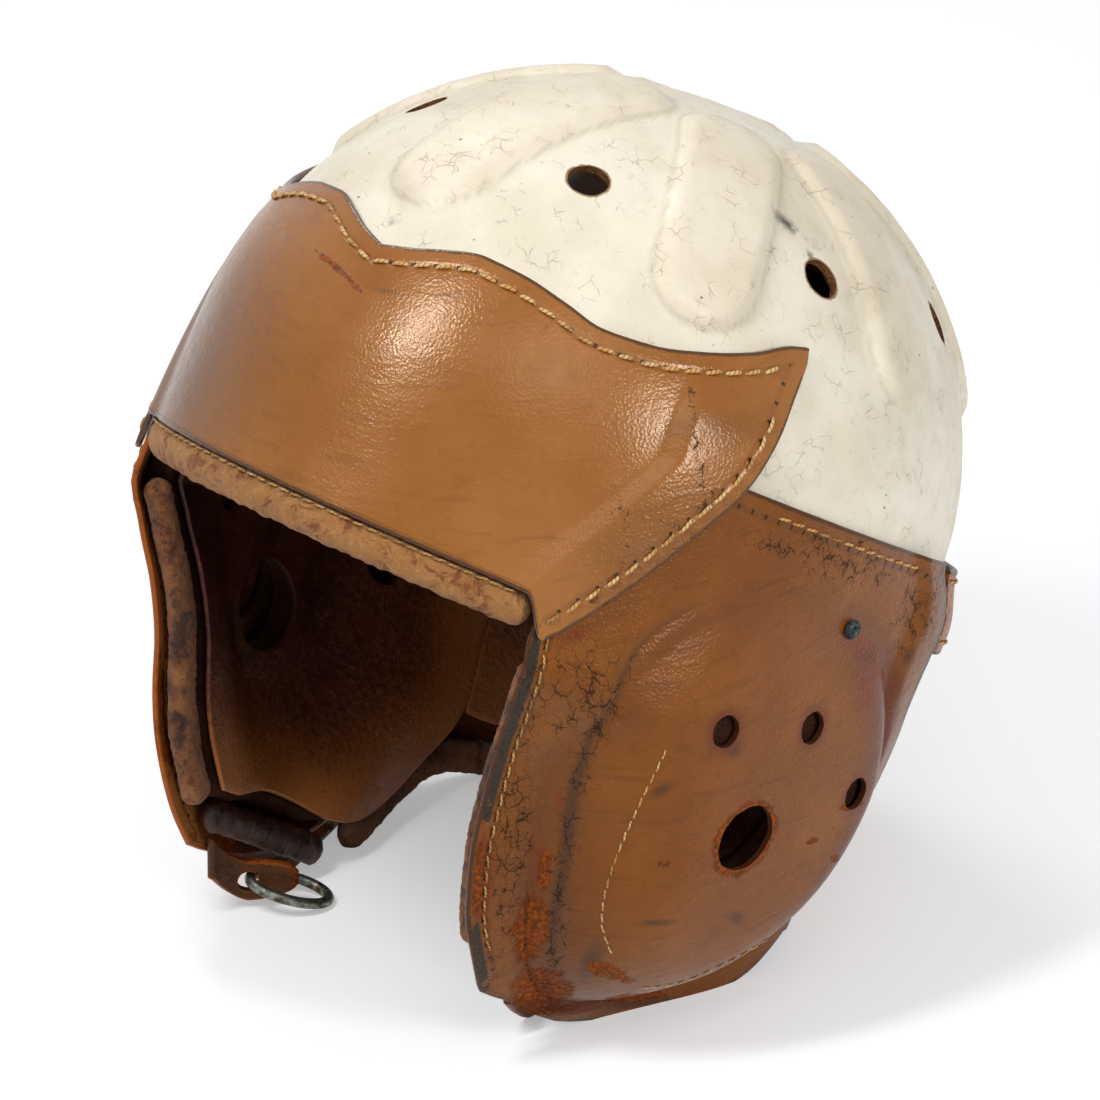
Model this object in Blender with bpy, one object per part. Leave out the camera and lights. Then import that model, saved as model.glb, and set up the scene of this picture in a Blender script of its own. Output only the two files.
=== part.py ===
"""A vintage football helmet: a pressed fibre crown over a sewn leather skirt with moulded ear domes.

The helmet is worked out in its own worn frame: +X is the wearer's left, -Y the front and +Z up, with the
origin at the centre of the crown. It stands on its flaps and nape, leaning back, so every piece hangs from
one empty that holds that lean. Azimuths run from the front round the wearer's left side, in degrees.
"""

import math

import bmesh
import bpy
import numpy as np
from mathutils import Matrix, Vector

# Stance: how the helmet stands on a table
LEAN_BACK = 34.0
NAPE_STAND = 0.077762
STAND_BACK = 0.0030
STAND_CUT_WIDTH = 0.400
STAND_CUT_DEPTH = 0.060

# Crown: a tilted ellipsoid whose long axis rises toward the back
CROWN_HALF_WIDTH = 0.107
CROWN_HALF_LENGTH = 0.1265
CROWN_HALF_HEIGHT = 0.1105
CROWN_TILT = 9.0
CROWN_BACK = 0.0024
CROWN_SINK = 0.0018
SHELL_WALL = 0.0027
SHELL_EDGE_DROP = 0.006
WAIST_BLEND = 0.015
NORMAL_STEP = 0.0005
NORMAL_STEP_ANGLE = 0.3
WELD = 0.00001

# Ribs and vents pressed into the crown
RIB_COUNT = 7
RIB_RISE = 0.0035
RIB_HALF_FLAT = 0.0115
RIB_FLANK = 0.0075
RIB_START = 0.046
RIB_LOW = 0.063
RIB_SLOPE_SHARE = 0.87
RIB_TURN = -3.0
VENT_HEIGHT = 0.075
VENT_AZIMUTHS = (20.3, 76.0, 131.5, 177.0, 228.5, 280.0, 324.0)
VENT_DIAMETER = 0.0125
CUTTER_LENGTH = 0.030

# Leather and felt
LEATHER = 0.0019
LINING = 0.0016
FELT = 0.0078
GAP = 0.0005
SOFT_GAP = 0.0009
LINING_GAP = 0.0015
LAP_GAP = 0.0012
LINING_DEPTH = SOFT_GAP + FELT + LINING_GAP

# Skirt below the crown: it flares out at the back and tucks in under the ears
FLARE_RISE = 0.0045
FLARE_TOP = 0.008
FLARE_DEPTH = 0.018
FLARE_END = 0.097
FLARE_AZIMUTHS = (95.0, 125.0)
TUCK_DEEPEST = 0.180
TUCK_SHARES = (
    (0.25, 0.0), (0.32, 0.001), (0.40, 0.051), (0.48, 0.109), (0.56, 0.149), (0.643, 0.175),
    (0.708, 0.196), (0.772, 0.220), (0.82, 0.235), (0.867, 0.255), (1.0, 0.305),
)
TUCK_NEAR_BACK = 0.110
TUCK_FULL_BACK = 0.030
TUCK_NEAR_SIDE = 0.028

# Brow and wings of the front panel
WING_TIP_HEIGHT = 0.0545
WING_TIP_AZIMUTH = 71.3
BROW_HEM_DROP = 0.0402
BROW_DROP = 0.0513
BROW_FALL_AZIMUTH = 40.0
BROW_AZIMUTH = 44.9
BROW_ROLL_AZIMUTH = 42.6
FRONT_TOP_SHARES = (
    (0.0, 0.61), (5.0, 0.661), (9.1, 0.716), (15.1, 0.772), (21.2, 0.765), (29.2, 0.718),
    (35.3, 0.674), (43.3, 0.695), (51.3, 0.763), (60.3, 0.864), (67.4, 0.965), (71.3, 0.992),
)
WING_EDGE_SHARES = (
    (44.9, 0.0), (47.0, 0.045), (51.2, 0.156), (55.2, 0.268), (58.9, 0.387), (62.5, 0.498),
    (65.7, 0.608), (67.9, 0.738), (69.9, 0.864), (71.3, 0.958),
)

# Side panel: its outline from top to bottom, as shares of its height, with front and rear azimuths
SIDE_TOP = 0.0105
SIDE_DROP = 0.156
SIDE_FRONT_SHARES = (
    (0.0, 57.5), (0.12, 52.3), (0.27, 45.4), (0.33, 43.6), (0.37, 43.4), (0.409, 44.1), (0.495, 48.6),
    (0.583, 53.6), (0.668, 57.7), (0.758, 61.3), (0.829, 65.2), (0.898, 70.1), (0.945, 74.6), (1.0, 80.9),
)
SIDE_REAR_SHARES = (
    (0.0, 120.0), (0.066, 124.0), (0.16, 123.8), (0.25, 125.6), (0.33, 130.5), (0.42, 134.5), (0.55, 136.5),
    (0.68, 136.0), (0.78, 133.0), (0.854, 127.8), (0.913, 120.0), (0.966, 111.5), (0.99, 104.0), (1.0, 99.0),
)
SIDE_LAP_AZIMUTHS = (8.0, 3.5)
LIFT_FULL = 0.023
LIFT_TOP = 0.042
NAPE_LAP = 5.5
NAPE_LAP_EASE = 5.0
NAPE_LAP_PLAY = 1.2

# Ear dome moulded into the side panel: radii from its centre to its outline, every 30 degrees from the back
DOME_CENTRE_BACK = 0.009
DOME_CENTRE_DROP = 0.082
DOME_RADIUS = 0.060
DOME_RADIUS_SHARES = (0.95, 1.03, 1.12, 1.15, 1.16, 1.12, 0.98, 0.86, 0.93, 1.13, 1.08, 0.97)
DOME_RISE = 0.0035
DOME_CROWN_DROP = 0.064
DOME_CROWN_BACK = 0.012
DOME_BOW_BACK = 0.450
DOME_BOW_DROP = 0.187
DOME_RIM_POWERS = (14.0, 14.0, 12.0, 9.0, 6.0, 3.5, 3.2, 3.2, 3.6, 4.2, 5.5, 9.0)
DOME_CAP_POWERS = (0.5, 0.5, 0.55, 0.7, 0.9, 1.25, 1.3, 1.2, 0.95, 0.75, 0.6, 0.5)
HOLLOW_SHARE = 0.62
HOLLOW_EASE = 0.62
EAR_HOLE = 0.021
EAR_BORE = 0.030
EAR_LINING_HOLE = 0.027
EAR_SIGHT_DROP = 0.084
EAR_CUT_SHARE = 0.8
SMALL_HOLE = 0.0100
SMALL_HOLE_SHARES = ((-0.47, -0.458), (0.133, -0.617), (0.683, -0.383))
RIVET_BACK = 0.019
RIVET_DROP = 0.016
RIVET_HEAD = 0.0062
RIVET_HEAD_RISE = 0.0012
RIVET_CROWN_SHARES = (0.60, 0.85)
RIVET_SIDES = 10
RIVET_SHANK = 0.0030
RIVET_PLAY = 0.0005
BURR_THICKNESS = 0.0011

# Rolled bindings along the edges of the skirt
ROLL_HALF_WIDTH = 0.0053
ROLL_HALF_DEPTH = 0.0042
BROW_ROLL_HALF_HEIGHT = 0.0059
BROW_ROLL_TUCK = 0.0006
BROW_ROLL_HALF_DEPTH = 0.0050
BROW_ROLL_SINK = 0.0031
ROLL_STAND_OUT = 0.0005
ROLL_SINK = 0.0047
ROLL_SIDES = 8
BOTTOM_ROLL_RISE = 0.0085
BOTTOM_ROLL_AZIMUTHS = (80.0, 109.0)
HEM_ROLL_SHARES = (
    (116.0, 0.905), (120.5, 0.872), (125.5, 0.822), (130.0, 0.768), (135.0, 0.715), (141.5, 0.678), (151.0, 0.653),
)
NAPE_ROLL_AZIMUTH = 152.0
NAPE_ROLL_END_DROP = 0.0965
NAPE_ROLL_MID_DROP = 0.0900

# Lining of the flaps
LINING_TOP = 0.002
LINING_FRONT_INSET = 0.0095
LINING_REAR_SHARES = (
    (0.0, 138.0), (0.58, 138.0), (0.63, 136.5), (0.67, 134.0), (0.72, 130.0), (0.775, 125.5), (0.825, 120.5),
    (0.86, 116.0), (0.89, 110.0), (0.91, 103.0),
)
LINING_END_SHARE = 0.90
PAD_TOP_DROP = 0.0072
PAD_EDGE_STEP = 0.8

# Nape: panel, band, felt and lining
NAPE_TOP = 0.004
NAPE_EDGE_DROP = 0.112
NAPE_MID_DROP = 0.097
NAPE_LINING_AZIMUTH = 138.6
NAPE_LINING_DROPS = (0.0935, 0.0825)
BAND_AZIMUTH = 125.6
BAND_TOP = 0.0085
BAND_DROP = 0.015
BAND_LEATHER = 0.0020

# Brow felt and lining
BROW_PAD_AZIMUTH = 42.0
BROW_PAD_DROP = 0.0380
BROW_LINING_TOP = 0.010
BROW_LINING_AZIMUTH = 44.0

# Suspension inside the crown
HEAD_BAND_TOP = 0.036
HEAD_BAND_LOW = 0.012
HEAD_BAND_LEATHER = 0.0018
WEB_THICKNESS = 0.0014
WEB_HALF_WIDTH = 0.010
WEB_COUNT = 3
WEB_SLACK = 0.0095
WEB_STACK = 0.0026
WEB_HANG_ANGLES = (62.0, 34.0)
WEB_END_ANGLE = 81.0
CROWN_FELT = 0.0045
CROWN_FELT_ANGLE = 40.0

# Chin tabs and the ring: how far in, back and down from the flap's lower front corner each tab's hole lies
TAB_INS = (0.009148, 0.004248)
TAB_BACKS = (0.030323, 0.018823)
TAB_DROPS = (0.019724, 0.018024)
TAB_TURNS = (4.0, 38.0)
TAB_LEATHER = 0.0026
TAB_HALF_WIDTH = 0.0060
TAB_HOLE = 0.0066
TAB_TIP = 0.0145
TAB_ROOT_FRONT = 0.0120
TAB_ROOT_OUT = 0.0034
TAB_ROOT_RISE = 0.0105
TAB_RISE_POWER = 1.4
TAB_END_SHARES = (0.0, 0.36, 0.66, 0.86, 1.0)
TAB_BLUNT_SHARE = 0.88
RING_LENGTH = 0.028
RING_WIDTH = 0.019
RING_WIRE = 0.0033
RING_DROOP = 18.0
RING_SEAT = 0.0006
RING_STEPS = 24
RING_SIDES = 8

# How finely the surfaces are divided
COLUMNS_PER_RIB = 7
SIDE_COLUMN_SHARES = (0.0, 0.07, 0.15, 0.24, 0.34, 0.44, 0.54, 0.64, 0.73, 0.81, 0.88, 0.94, 1.0)
LINING_COLUMNS = 10
LINING_ROWS = 11

# Colours of the finishes
CREAM = (0.90, 0.86, 0.76, 1.0)
TAN = (0.38, 0.16, 0.045, 1.0)
BROWN = (0.22, 0.09, 0.028, 1.0)
SUEDE = (0.48, 0.26, 0.11, 1.0)
DARK_LINING = (0.06, 0.02, 0.012, 1.0)
FELT_GREY = (0.30, 0.27, 0.23, 1.0)
WEB_CREAM = (0.62, 0.56, 0.44, 1.0)
STEEL = (0.10, 0.11, 0.10, 1.0)
LEATHER_ROUGHNESS = 0.45
PAINT_ROUGHNESS = 0.38
CLOTH_ROUGHNESS = 0.9
STEEL_ROUGHNESS = 0.4


def clear_scene():
    for held in list(bpy.data.objects):
        bpy.data.objects.remove(held, do_unlink=True)


def material(name, colour, roughness, metallic=0.0):
    made = bpy.data.materials.new(name)
    made.use_nodes = True
    shader = made.node_tree.nodes["Principled BSDF"]
    shader.inputs["Base Color"].default_value = colour
    shader.inputs["Roughness"].default_value = roughness
    shader.inputs["Metallic"].default_value = metallic
    return made


def smooth_step(value):
    """Rises from 0 to 1 with level ends as the value goes from 0 to 1."""
    held = np.clip(value, 0.0, 1.0)
    return held * held * (3.0 - 2.0 * held)


def curve_through(table, value, cyclic=False):
    """Reads a smooth cubic curve through the table's points, which doesn't overshoot unless it runs in a circle."""
    places = np.array([row[0] for row in table], float)
    heights = np.array([row[1] for row in table], float)
    rates = np.diff(heights) / np.diff(places)
    before = np.concatenate([rates[-1:] if cyclic else rates[:1], rates])
    after = np.concatenate([rates, rates[:1] if cyclic else rates[-1:]])
    level = before * after <= 0.0
    slopes = np.where(level, 0.0, 2.0 * before * after / np.where(level, 1.0, before + after))
    if cyclic:
        slopes = 0.5 * (before + after)
    value = np.clip(value, places[0], places[-1])
    cell = np.clip(np.searchsorted(places, value, side="right") - 1, 0, len(places) - 2)
    span = places[cell + 1] - places[cell]
    t = (value - places[cell]) / span
    start = heights[cell] * (1.0 + 2.0 * t) * (1.0 - t) ** 2
    end = heights[cell + 1] * t * t * (3.0 - 2.0 * t)
    lean = slopes[cell] * span * t * (1.0 - t) ** 2 - slopes[cell + 1] * span * t * t * (1.0 - t)
    return start + end + lean


def crown_radius(azimuth, height):
    """The crown's distance from its upright axis, at an azimuth and height; below its waist it falls plumb."""
    tilt = math.radians(CROWN_TILT)
    height = height + CROWN_SINK
    blended = (height + WAIST_BLEND) ** 2 / (4.0 * WAIST_BLEND)
    height = np.where(height > WAIST_BLEND, height, np.where(height < -WAIST_BLEND, 0.0, blended))
    across = np.sin(azimuth)
    along = np.cos(azimuth)
    long_end = math.cos(tilt) ** 2 / CROWN_HALF_LENGTH**2 + math.sin(tilt) ** 2 / CROWN_HALF_HEIGHT**2
    square = across**2 / CROWN_HALF_WIDTH**2 + along**2 * long_end
    twist = math.sin(tilt) * math.cos(tilt) * (1.0 / CROWN_HALF_HEIGHT**2 - 1.0 / CROWN_HALF_LENGTH**2)
    cross = along * height * twist
    upright = math.sin(tilt) ** 2 / CROWN_HALF_LENGTH**2 + math.cos(tilt) ** 2 / CROWN_HALF_HEIGHT**2
    rest = height**2 * upright - 1.0
    return (-cross + np.sqrt(cross**2 - square * rest)) / square


def flare(azimuth, height):
    """How far the leather stands off the crown's plumb line round the back."""
    start, full = (math.radians(angle) for angle in FLARE_AZIMUTHS)
    about = smooth_step((np.abs(azimuth) - start) / (full - start))
    below = smooth_step((FLARE_TOP - height) / FLARE_DEPTH)
    fade = np.clip((FLARE_END + height) / (FLARE_END - FLARE_DEPTH), 0.0, 1.0)
    return FLARE_RISE * about * below * fade


def tuck(back, height):
    """How far the skirt leans in toward the jaw at a place behind or before the ears."""
    leaned = TUCK_DEEPEST * curve_through(TUCK_SHARES, -height / TUCK_DEEPEST)
    return leaned * smooth_step((TUCK_NEAR_BACK - back) / (TUCK_NEAR_BACK - TUCK_FULL_BACK))


def dome_share(back, height):
    """The share of the way from the dome's centre to its outline, and the angle there."""
    across = back - DOME_CENTRE_BACK
    up = height + DOME_CENTRE_DROP
    turn = np.degrees(np.arctan2(up, across)) % 360.0
    return np.hypot(across, up) / (DOME_RADIUS * round_table(DOME_RADIUS_SHARES, turn)), turn


def round_table(values, turn):
    """Reads evenly spaced values round a circle, at each turn in degrees."""
    count = len(values)
    table = [(360.0 * i / count, values[i % count]) for i in range(count + 1)]
    return curve_through(table, turn, cyclic=True)


def dome_lift(side_reach, back, height, hollow):
    """How far the moulded dome stands out past the plain leather, or the soft hollow under it, on the side."""
    share, turn = dome_share(back, height)
    bow = (back - DOME_CROWN_BACK) ** 2 / (2.0 * DOME_BOW_BACK)
    bow = bow + (height + DOME_CROWN_DROP) ** 2 / (2.0 * DOME_BOW_DROP)
    held = np.clip(share, 0.0, 1.0) ** round_table(DOME_RIM_POWERS, turn)
    cap = (1.0 - held) ** round_table(DOME_CAP_POWERS, turn)
    if hollow:
        cap = HOLLOW_SHARE * smooth_step((1.0 - share) / HOLLOW_EASE)
    return np.maximum(CROWN_HALF_WIDTH + DOME_RISE - bow - side_reach, 0.0) * cap


def form_point(azimuth, height, dressed=True, domed=False, hollow=False):
    """Points of the form that the leather lies on; the bare form is the crown's own surface."""
    radius = crown_radius(azimuth, height)
    if dressed:
        radius = radius + flare(azimuth, height)
    x = radius * np.sin(azimuth)
    y = CROWN_BACK - radius * np.cos(azimuth)
    if dressed:
        x = x - np.sign(x) * tuck(y, height) * smooth_step((np.abs(x) - TUCK_NEAR_SIDE) / TUCK_NEAR_SIDE)
    if domed or hollow:
        x = x + np.sign(x) * dome_lift(np.abs(x), y, height, hollow)
    return np.stack([x, y, height + 0.0 * x], axis=-1)


def form_normal(azimuth, height, dressed=True, domed=False, hollow=False):
    turn = math.radians(NORMAL_STEP_ANGLE)
    ahead = form_point(azimuth + turn, height, dressed, domed, hollow)
    behind = form_point(azimuth - turn, height, dressed, domed, hollow)
    above = form_point(azimuth, height + NORMAL_STEP, dressed, domed, hollow)
    below = form_point(azimuth, height - NORMAL_STEP, dressed, domed, hollow)
    normal = np.cross(ahead - behind, above - below)
    return normal / np.linalg.norm(normal, axis=-1, keepdims=True)


def skin(azimuth, height, offset, dressed=True, domed=False, hollow=False):
    """Points at an offset out from the form, for azimuths in degrees."""
    azimuth = np.radians(azimuth)
    azimuth, height = np.broadcast_arrays(azimuth, height)
    offset = np.broadcast_to(offset, azimuth.shape)[..., None]
    normal = form_normal(azimuth, height, dressed, domed, hollow)
    return form_point(azimuth, height, dressed, domed, hollow) + offset * normal


def crown_point(polar, azimuth):
    """A point on the crown's ellipsoid and its normal, by polar angle from the upright axis."""
    up = np.cos(polar) + 0.0 * azimuth
    return crown_toward(np.stack([np.sin(polar) * np.sin(azimuth), -np.sin(polar) * np.cos(azimuth), up], axis=-1))


def crown_toward(way):
    """The point on the crown's ellipsoid in each direction from its own centre, and the normal there."""
    tilt = math.radians(CROWN_TILT)
    turned = np.stack(
        [
            way[..., 0],
            way[..., 1] * math.cos(tilt) + way[..., 2] * math.sin(tilt),
            way[..., 2] * math.cos(tilt) - way[..., 1] * math.sin(tilt),
        ],
        axis=-1,
    )
    axes = np.array([CROWN_HALF_WIDTH, CROWN_HALF_LENGTH, CROWN_HALF_HEIGHT])
    reach = 1.0 / np.linalg.norm(turned / axes, axis=-1, keepdims=True)
    slope = turned / axes**2
    normal = np.stack(
        [
            slope[..., 0],
            slope[..., 1] * math.cos(tilt) - slope[..., 2] * math.sin(tilt),
            slope[..., 2] * math.cos(tilt) + slope[..., 1] * math.sin(tilt),
        ],
        axis=-1,
    )
    centre = np.array([0.0, CROWN_BACK, -CROWN_SINK])
    return centre + way * reach, normal / np.linalg.norm(normal, axis=-1, keepdims=True)


def rib_rise(polar, azimuth, point):
    """The height of the pressed ribs: round-ended bands that run down from the crown's top."""
    radius = np.linalg.norm(point, axis=-1)
    period = 2.0 * math.pi / RIB_COUNT
    away = (azimuth - math.radians(RIB_TURN) + 0.5 * period) % period - 0.5 * period
    across = radius * np.sin(polar) * away
    along = radius * polar
    past = np.maximum(RIB_START - along, (RIB_LOW - point[..., 2]) / RIB_SLOPE_SHARE)
    past = np.maximum(past, 0.0)
    outside = np.hypot(across, past) - RIB_HALF_FLAT
    return RIB_RISE * smooth_step(1.0 - outside / RIB_FLANK)


def make_object(name, bm, finish, parent):
    bmesh.ops.recalc_face_normals(bm, faces=bm.faces)
    mesh = bpy.data.meshes.new(name)
    bm.to_mesh(mesh)
    bm.free()
    mesh.materials.append(finish)
    mesh.shade_smooth()
    mesh.set_sharp_from_angle(angle=math.radians(35.0))
    made = bpy.data.objects.new(name, mesh)
    bpy.context.scene.collection.objects.link(made)
    made.parent = parent
    return made


def wall(name, outer, inner, finish, parent, wrap=False):
    """A closed sheet between two grids of points. A wrapped one runs full circle and starts at a pole."""
    rows, columns = outer.shape[:2]
    bm = bmesh.new()
    out = [[bm.verts.new(outer[r, c]) for c in range(columns)] for r in range(rows)]
    back = [[bm.verts.new(inner[r, c]) for c in range(columns)] for r in range(rows)]
    spans = columns if wrap else columns - 1
    for r in range(rows - 1):
        for c in range(spans):
            n = (c + 1) % columns
            bm.faces.new((out[r][c], out[r + 1][c], out[r + 1][n], out[r][n]))
            bm.faces.new((back[r][n], back[r + 1][n], back[r + 1][c], back[r][c]))
    edges = ((rows - 1, False),) if wrap == "pole" else ((0, True), (rows - 1, False))
    for r, top in edges:
        for c in range(spans):
            n = (c + 1) % columns
            face = (out[r][n], back[r][n], back[r][c], out[r][c])
            bm.faces.new(face[::-1] if top else face)
    if not wrap:
        for r in range(rows - 1):
            bm.faces.new((out[r][0], back[r][0], back[r + 1][0], out[r + 1][0]))
            bm.faces.new((out[r + 1][-1], back[r + 1][-1], back[r][-1], out[r][-1]))
    bmesh.ops.remove_doubles(bm, verts=bm.verts, dist=WELD)
    return make_object(name, bm, finish, parent)


def tube(name, rings, finish, parent, closed=False):
    """A closed tube through rings of points, with flat ends unless it runs into itself."""
    bm = bmesh.new()
    made = [[bm.verts.new(point) for point in ring] for ring in rings]
    count = len(made)
    sides = len(made[0])
    for r in range(count if closed else count - 1):
        after = made[(r + 1) % count]
        for s in range(sides):
            n = (s + 1) % sides
            bm.faces.new((made[r][s], made[r][n], after[n], after[s]))
    if not closed:
        bm.faces.new(made[0][::-1])
        bm.faces.new(made[-1])
    return make_object(name, bm, finish, parent)


def mirrored(points, side):
    """The points for the wearer's left side, or their mirror image for the right."""
    return points * np.array([side, 1.0, 1.0])


def cutter(name, meshes, parent):
    """One hidden object that holds several closed round cutters, each given as centre, way, radius and length."""
    bm = bmesh.new()
    for centre, way, radius, length, sides in meshes:
        turn = Vector(way).to_track_quat("Z", "Y").to_matrix().to_4x4()
        place = Matrix.Translation(Vector(centre)) @ turn
        bmesh.ops.create_cone(
            bm, cap_ends=True, segments=sides, radius1=radius, radius2=radius, depth=length, matrix=place
        )
    mesh = bpy.data.meshes.new(name)
    bm.to_mesh(mesh)
    bm.free()
    made = bpy.data.objects.new(name, mesh)
    bpy.context.scene.collection.objects.link(made)
    made.parent = parent
    made.hide_render = True
    made.display_type = "WIRE"
    return made


def cut(piece, tool):
    bored = piece.modifiers.new(tool.name, "BOOLEAN")
    bored.operation = "DIFFERENCE"
    bored.solver = "EXACT"
    bored.object = tool


def stance_frame():
    """The worn frame's place on the table: it leans back, and the nape's reach sets how high it stands."""
    lean = math.radians(LEAN_BACK)
    rise = NAPE_STAND + math.sin(lean) * CROWN_HALF_LENGTH
    return Matrix.Translation((0.0, STAND_BACK, rise)) @ Matrix.Rotation(-lean, 4, "X")


def make_stance():
    """The empty that leans the helmet back and sets it down with its middle over the table's origin."""
    stance = bpy.data.objects.new("stance", None)
    bpy.context.scene.collection.objects.link(stance)
    stance.matrix_world = stance_frame()
    return stance


def make_floor_cutter():
    """A block under the table's surface: what reaches it is worn flat there."""
    bm = bmesh.new()
    bmesh.ops.create_cube(bm, size=1.0)
    size = Vector((STAND_CUT_WIDTH, STAND_CUT_WIDTH, STAND_CUT_DEPTH))
    bmesh.ops.scale(bm, vec=size, verts=bm.verts)
    bmesh.ops.translate(bm, vec=Vector((0.0, 0.0, -0.5 * STAND_CUT_DEPTH)), verts=bm.verts)
    mesh = bpy.data.meshes.new("floor_cutter")
    bm.to_mesh(mesh)
    bm.free()
    made = bpy.data.objects.new("floor_cutter", mesh)
    bpy.context.scene.collection.objects.link(made)
    made.hide_render = True
    made.display_type = "WIRE"
    return made


def make_crown_shell(stance):
    columns = COLUMNS_PER_RIB * RIB_COUNT
    azimuth = np.radians(RIB_TURN + np.arange(columns) * 360.0 / columns)
    polar = np.radians(np.array([0.0, 9.0, 16.5, 22.0, 27.0, 33.0, 40.0, 47.0, 53.0, 58.0, 63.0, 70.0]))[:, None]
    point, normal = crown_point(polar, azimuth)
    rise = rib_rise(polar, azimuth, point)[..., None]
    outer = point + rise * normal
    inner = point + (rise - SHELL_WALL) * normal
    low = point[-1, :, 2]
    steps = np.array([0.34, 0.67, 1.0])[:, None]
    height = low + steps * (-SHELL_EDGE_DROP - low)
    degrees = np.degrees(azimuth)
    outer = np.concatenate([outer, skin(degrees, height, 0.0, dressed=False)])
    inner = np.concatenate([inner, skin(degrees, height, -SHELL_WALL, dressed=False)])
    finish = material("cream_paint", CREAM, PAINT_ROUGHNESS)
    shell = wall("crown_shell", outer, inner, finish, stance, wrap="pole")
    cut(shell, cutter("vent_cutter", [vent_hole(turn) for turn in VENT_AZIMUTHS], stance))


def vent_hole(turn):
    """Centre, way, radius, length and sides of one vent, between two ribs."""
    azimuth = math.radians(turn)
    centre = tuple(form_point(np.array(azimuth), np.array(VENT_HEIGHT), dressed=False))
    way = form_normal(np.array(azimuth), np.array(VENT_HEIGHT), dressed=False)
    return centre, tuple(way), 0.5 * VENT_DIAMETER, CUTTER_LENGTH, 14


def wing_edge(azimuth):
    """The lower edge of the front panel: level across the brow, then up along each wing."""
    span = WING_TIP_HEIGHT + BROW_DROP
    rising = -BROW_DROP + span * curve_through(WING_EDGE_SHARES, azimuth)
    fallen = smooth_step((azimuth - BROW_FALL_AZIMUTH) / (BROW_AZIMUTH - BROW_FALL_AZIMUTH))
    level = -BROW_HEM_DROP - (BROW_DROP - BROW_HEM_DROP) * fallen
    return np.where(azimuth > BROW_AZIMUTH, rising, level)


def make_front_panel(stance):
    half = [0.0, 6.0, 12.0, 18.0, 24.0, 30.0, 35.5, 39.5, 42.5, BROW_AZIMUTH, 47.0, 50.5, 54.0, 57.5, 61.0, 64.3]
    half += [67.3, 69.7, WING_TIP_AZIMUTH]
    azimuth = np.array([-a for a in half[:0:-1]] + half)
    top = WING_TIP_HEIGHT * curve_through(FRONT_TOP_SHARES, np.abs(azimuth))
    low = wing_edge(np.abs(azimuth))
    shares = np.linspace(0.0, 1.0, 7)[:, None]
    height = top + shares * (low - top)
    azimuth = np.broadcast_to(azimuth, height.shape)
    away = np.abs(azimuth) - side_front(height)
    far, near = SIDE_LAP_AZIMUTHS
    lift = (LEATHER + GAP) * smooth_step((away + far) / (far - near))
    lift = lift * smooth_step((LIFT_TOP - height) / (LIFT_TOP - LIFT_FULL))
    outer = skin(azimuth, height, GAP + LEATHER + lift)
    inner = skin(azimuth, height, GAP + lift)
    wall("front_panel", outer, inner, material("tan_leather", TAN, LEATHER_ROUGHNESS), stance)


def side_height(share):
    return SIDE_TOP - share * (SIDE_TOP + SIDE_DROP)


def side_share(height):
    return np.clip((SIDE_TOP - height) / (SIDE_TOP + SIDE_DROP), 0.0, 1.0)


def side_front(height):
    return curve_through(SIDE_FRONT_SHARES, side_share(height))


def side_rear(height):
    return curve_through(SIDE_REAR_SHARES, side_share(height))


def nape_front(height):
    """The azimuth of the nape panel's front edge, which lies under the side panel's rear one."""
    return side_rear(height) - NAPE_LAP


def make_side_panel(side, name, stance):
    shares = np.array(
        [0.0, 0.07, 0.14, 0.20, 0.27, 0.34, 0.41, 0.48, 0.56, 0.64, 0.72, 0.79, 0.85, 0.90, 0.94, 0.975, 1.0]
    )
    height = side_height(shares)[:, None]
    start = side_front(height)
    end = side_rear(height)
    under = nape_front(height)
    azimuth = start + np.array(SIDE_COLUMN_SHARES) * (under - NAPE_LAP_EASE - start)
    azimuth = np.concatenate([azimuth, under - NAPE_LAP_PLAY, end], axis=1)
    height = np.broadcast_to(height, azimuth.shape)
    lift = (LEATHER + LAP_GAP) * smooth_step((azimuth - under + NAPE_LAP_EASE) / (NAPE_LAP_EASE - NAPE_LAP_PLAY))
    outer = skin(azimuth, height, GAP + LEATHER + lift, domed=True)
    inner = skin(azimuth, height, GAP + lift, domed=True)
    finish = material(name + "_leather", BROWN, LEATHER_ROUGHNESS)
    return wall(name, mirrored(outer, side), mirrored(inner, side), finish, stance)


def ear_cutters(side, suffix, stance):
    """The bores of one ear: through the leather, through the felt and through the lining."""
    way = (1.0, 0.0, 0.0)
    middle = side * EAR_CUT_SHARE * CROWN_HALF_WIDTH
    length = CROWN_HALF_WIDTH
    centre = (middle, DOME_CENTRE_BACK, -EAR_SIGHT_DROP)
    rivet = (side * CROWN_HALF_WIDTH, RIVET_BACK, -RIVET_DROP)
    play = (rivet, way, 0.5 * RIVET_SHANK + RIVET_PLAY, length, 8)
    small = []
    for back, up in SMALL_HOLE_SHARES:
        place = (middle, DOME_CENTRE_BACK + back * DOME_RADIUS, -EAR_SIGHT_DROP - up * DOME_RADIUS)
        small.append((place, way, 0.5 * SMALL_HOLE, length, 12))
    leather = cutter("leather_bores" + suffix, [(centre, way, 0.5 * EAR_HOLE, length, 24), play] + small, stance)
    felt = cutter("felt_bores" + suffix, [(centre, way, 0.5 * EAR_BORE, length, 20), play], stance)
    lined = cutter("lining_bores" + suffix, [(centre, way, 0.5 * EAR_LINING_HOLE, length, 20), play] + small, stance)
    return leather, felt, lined


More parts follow.
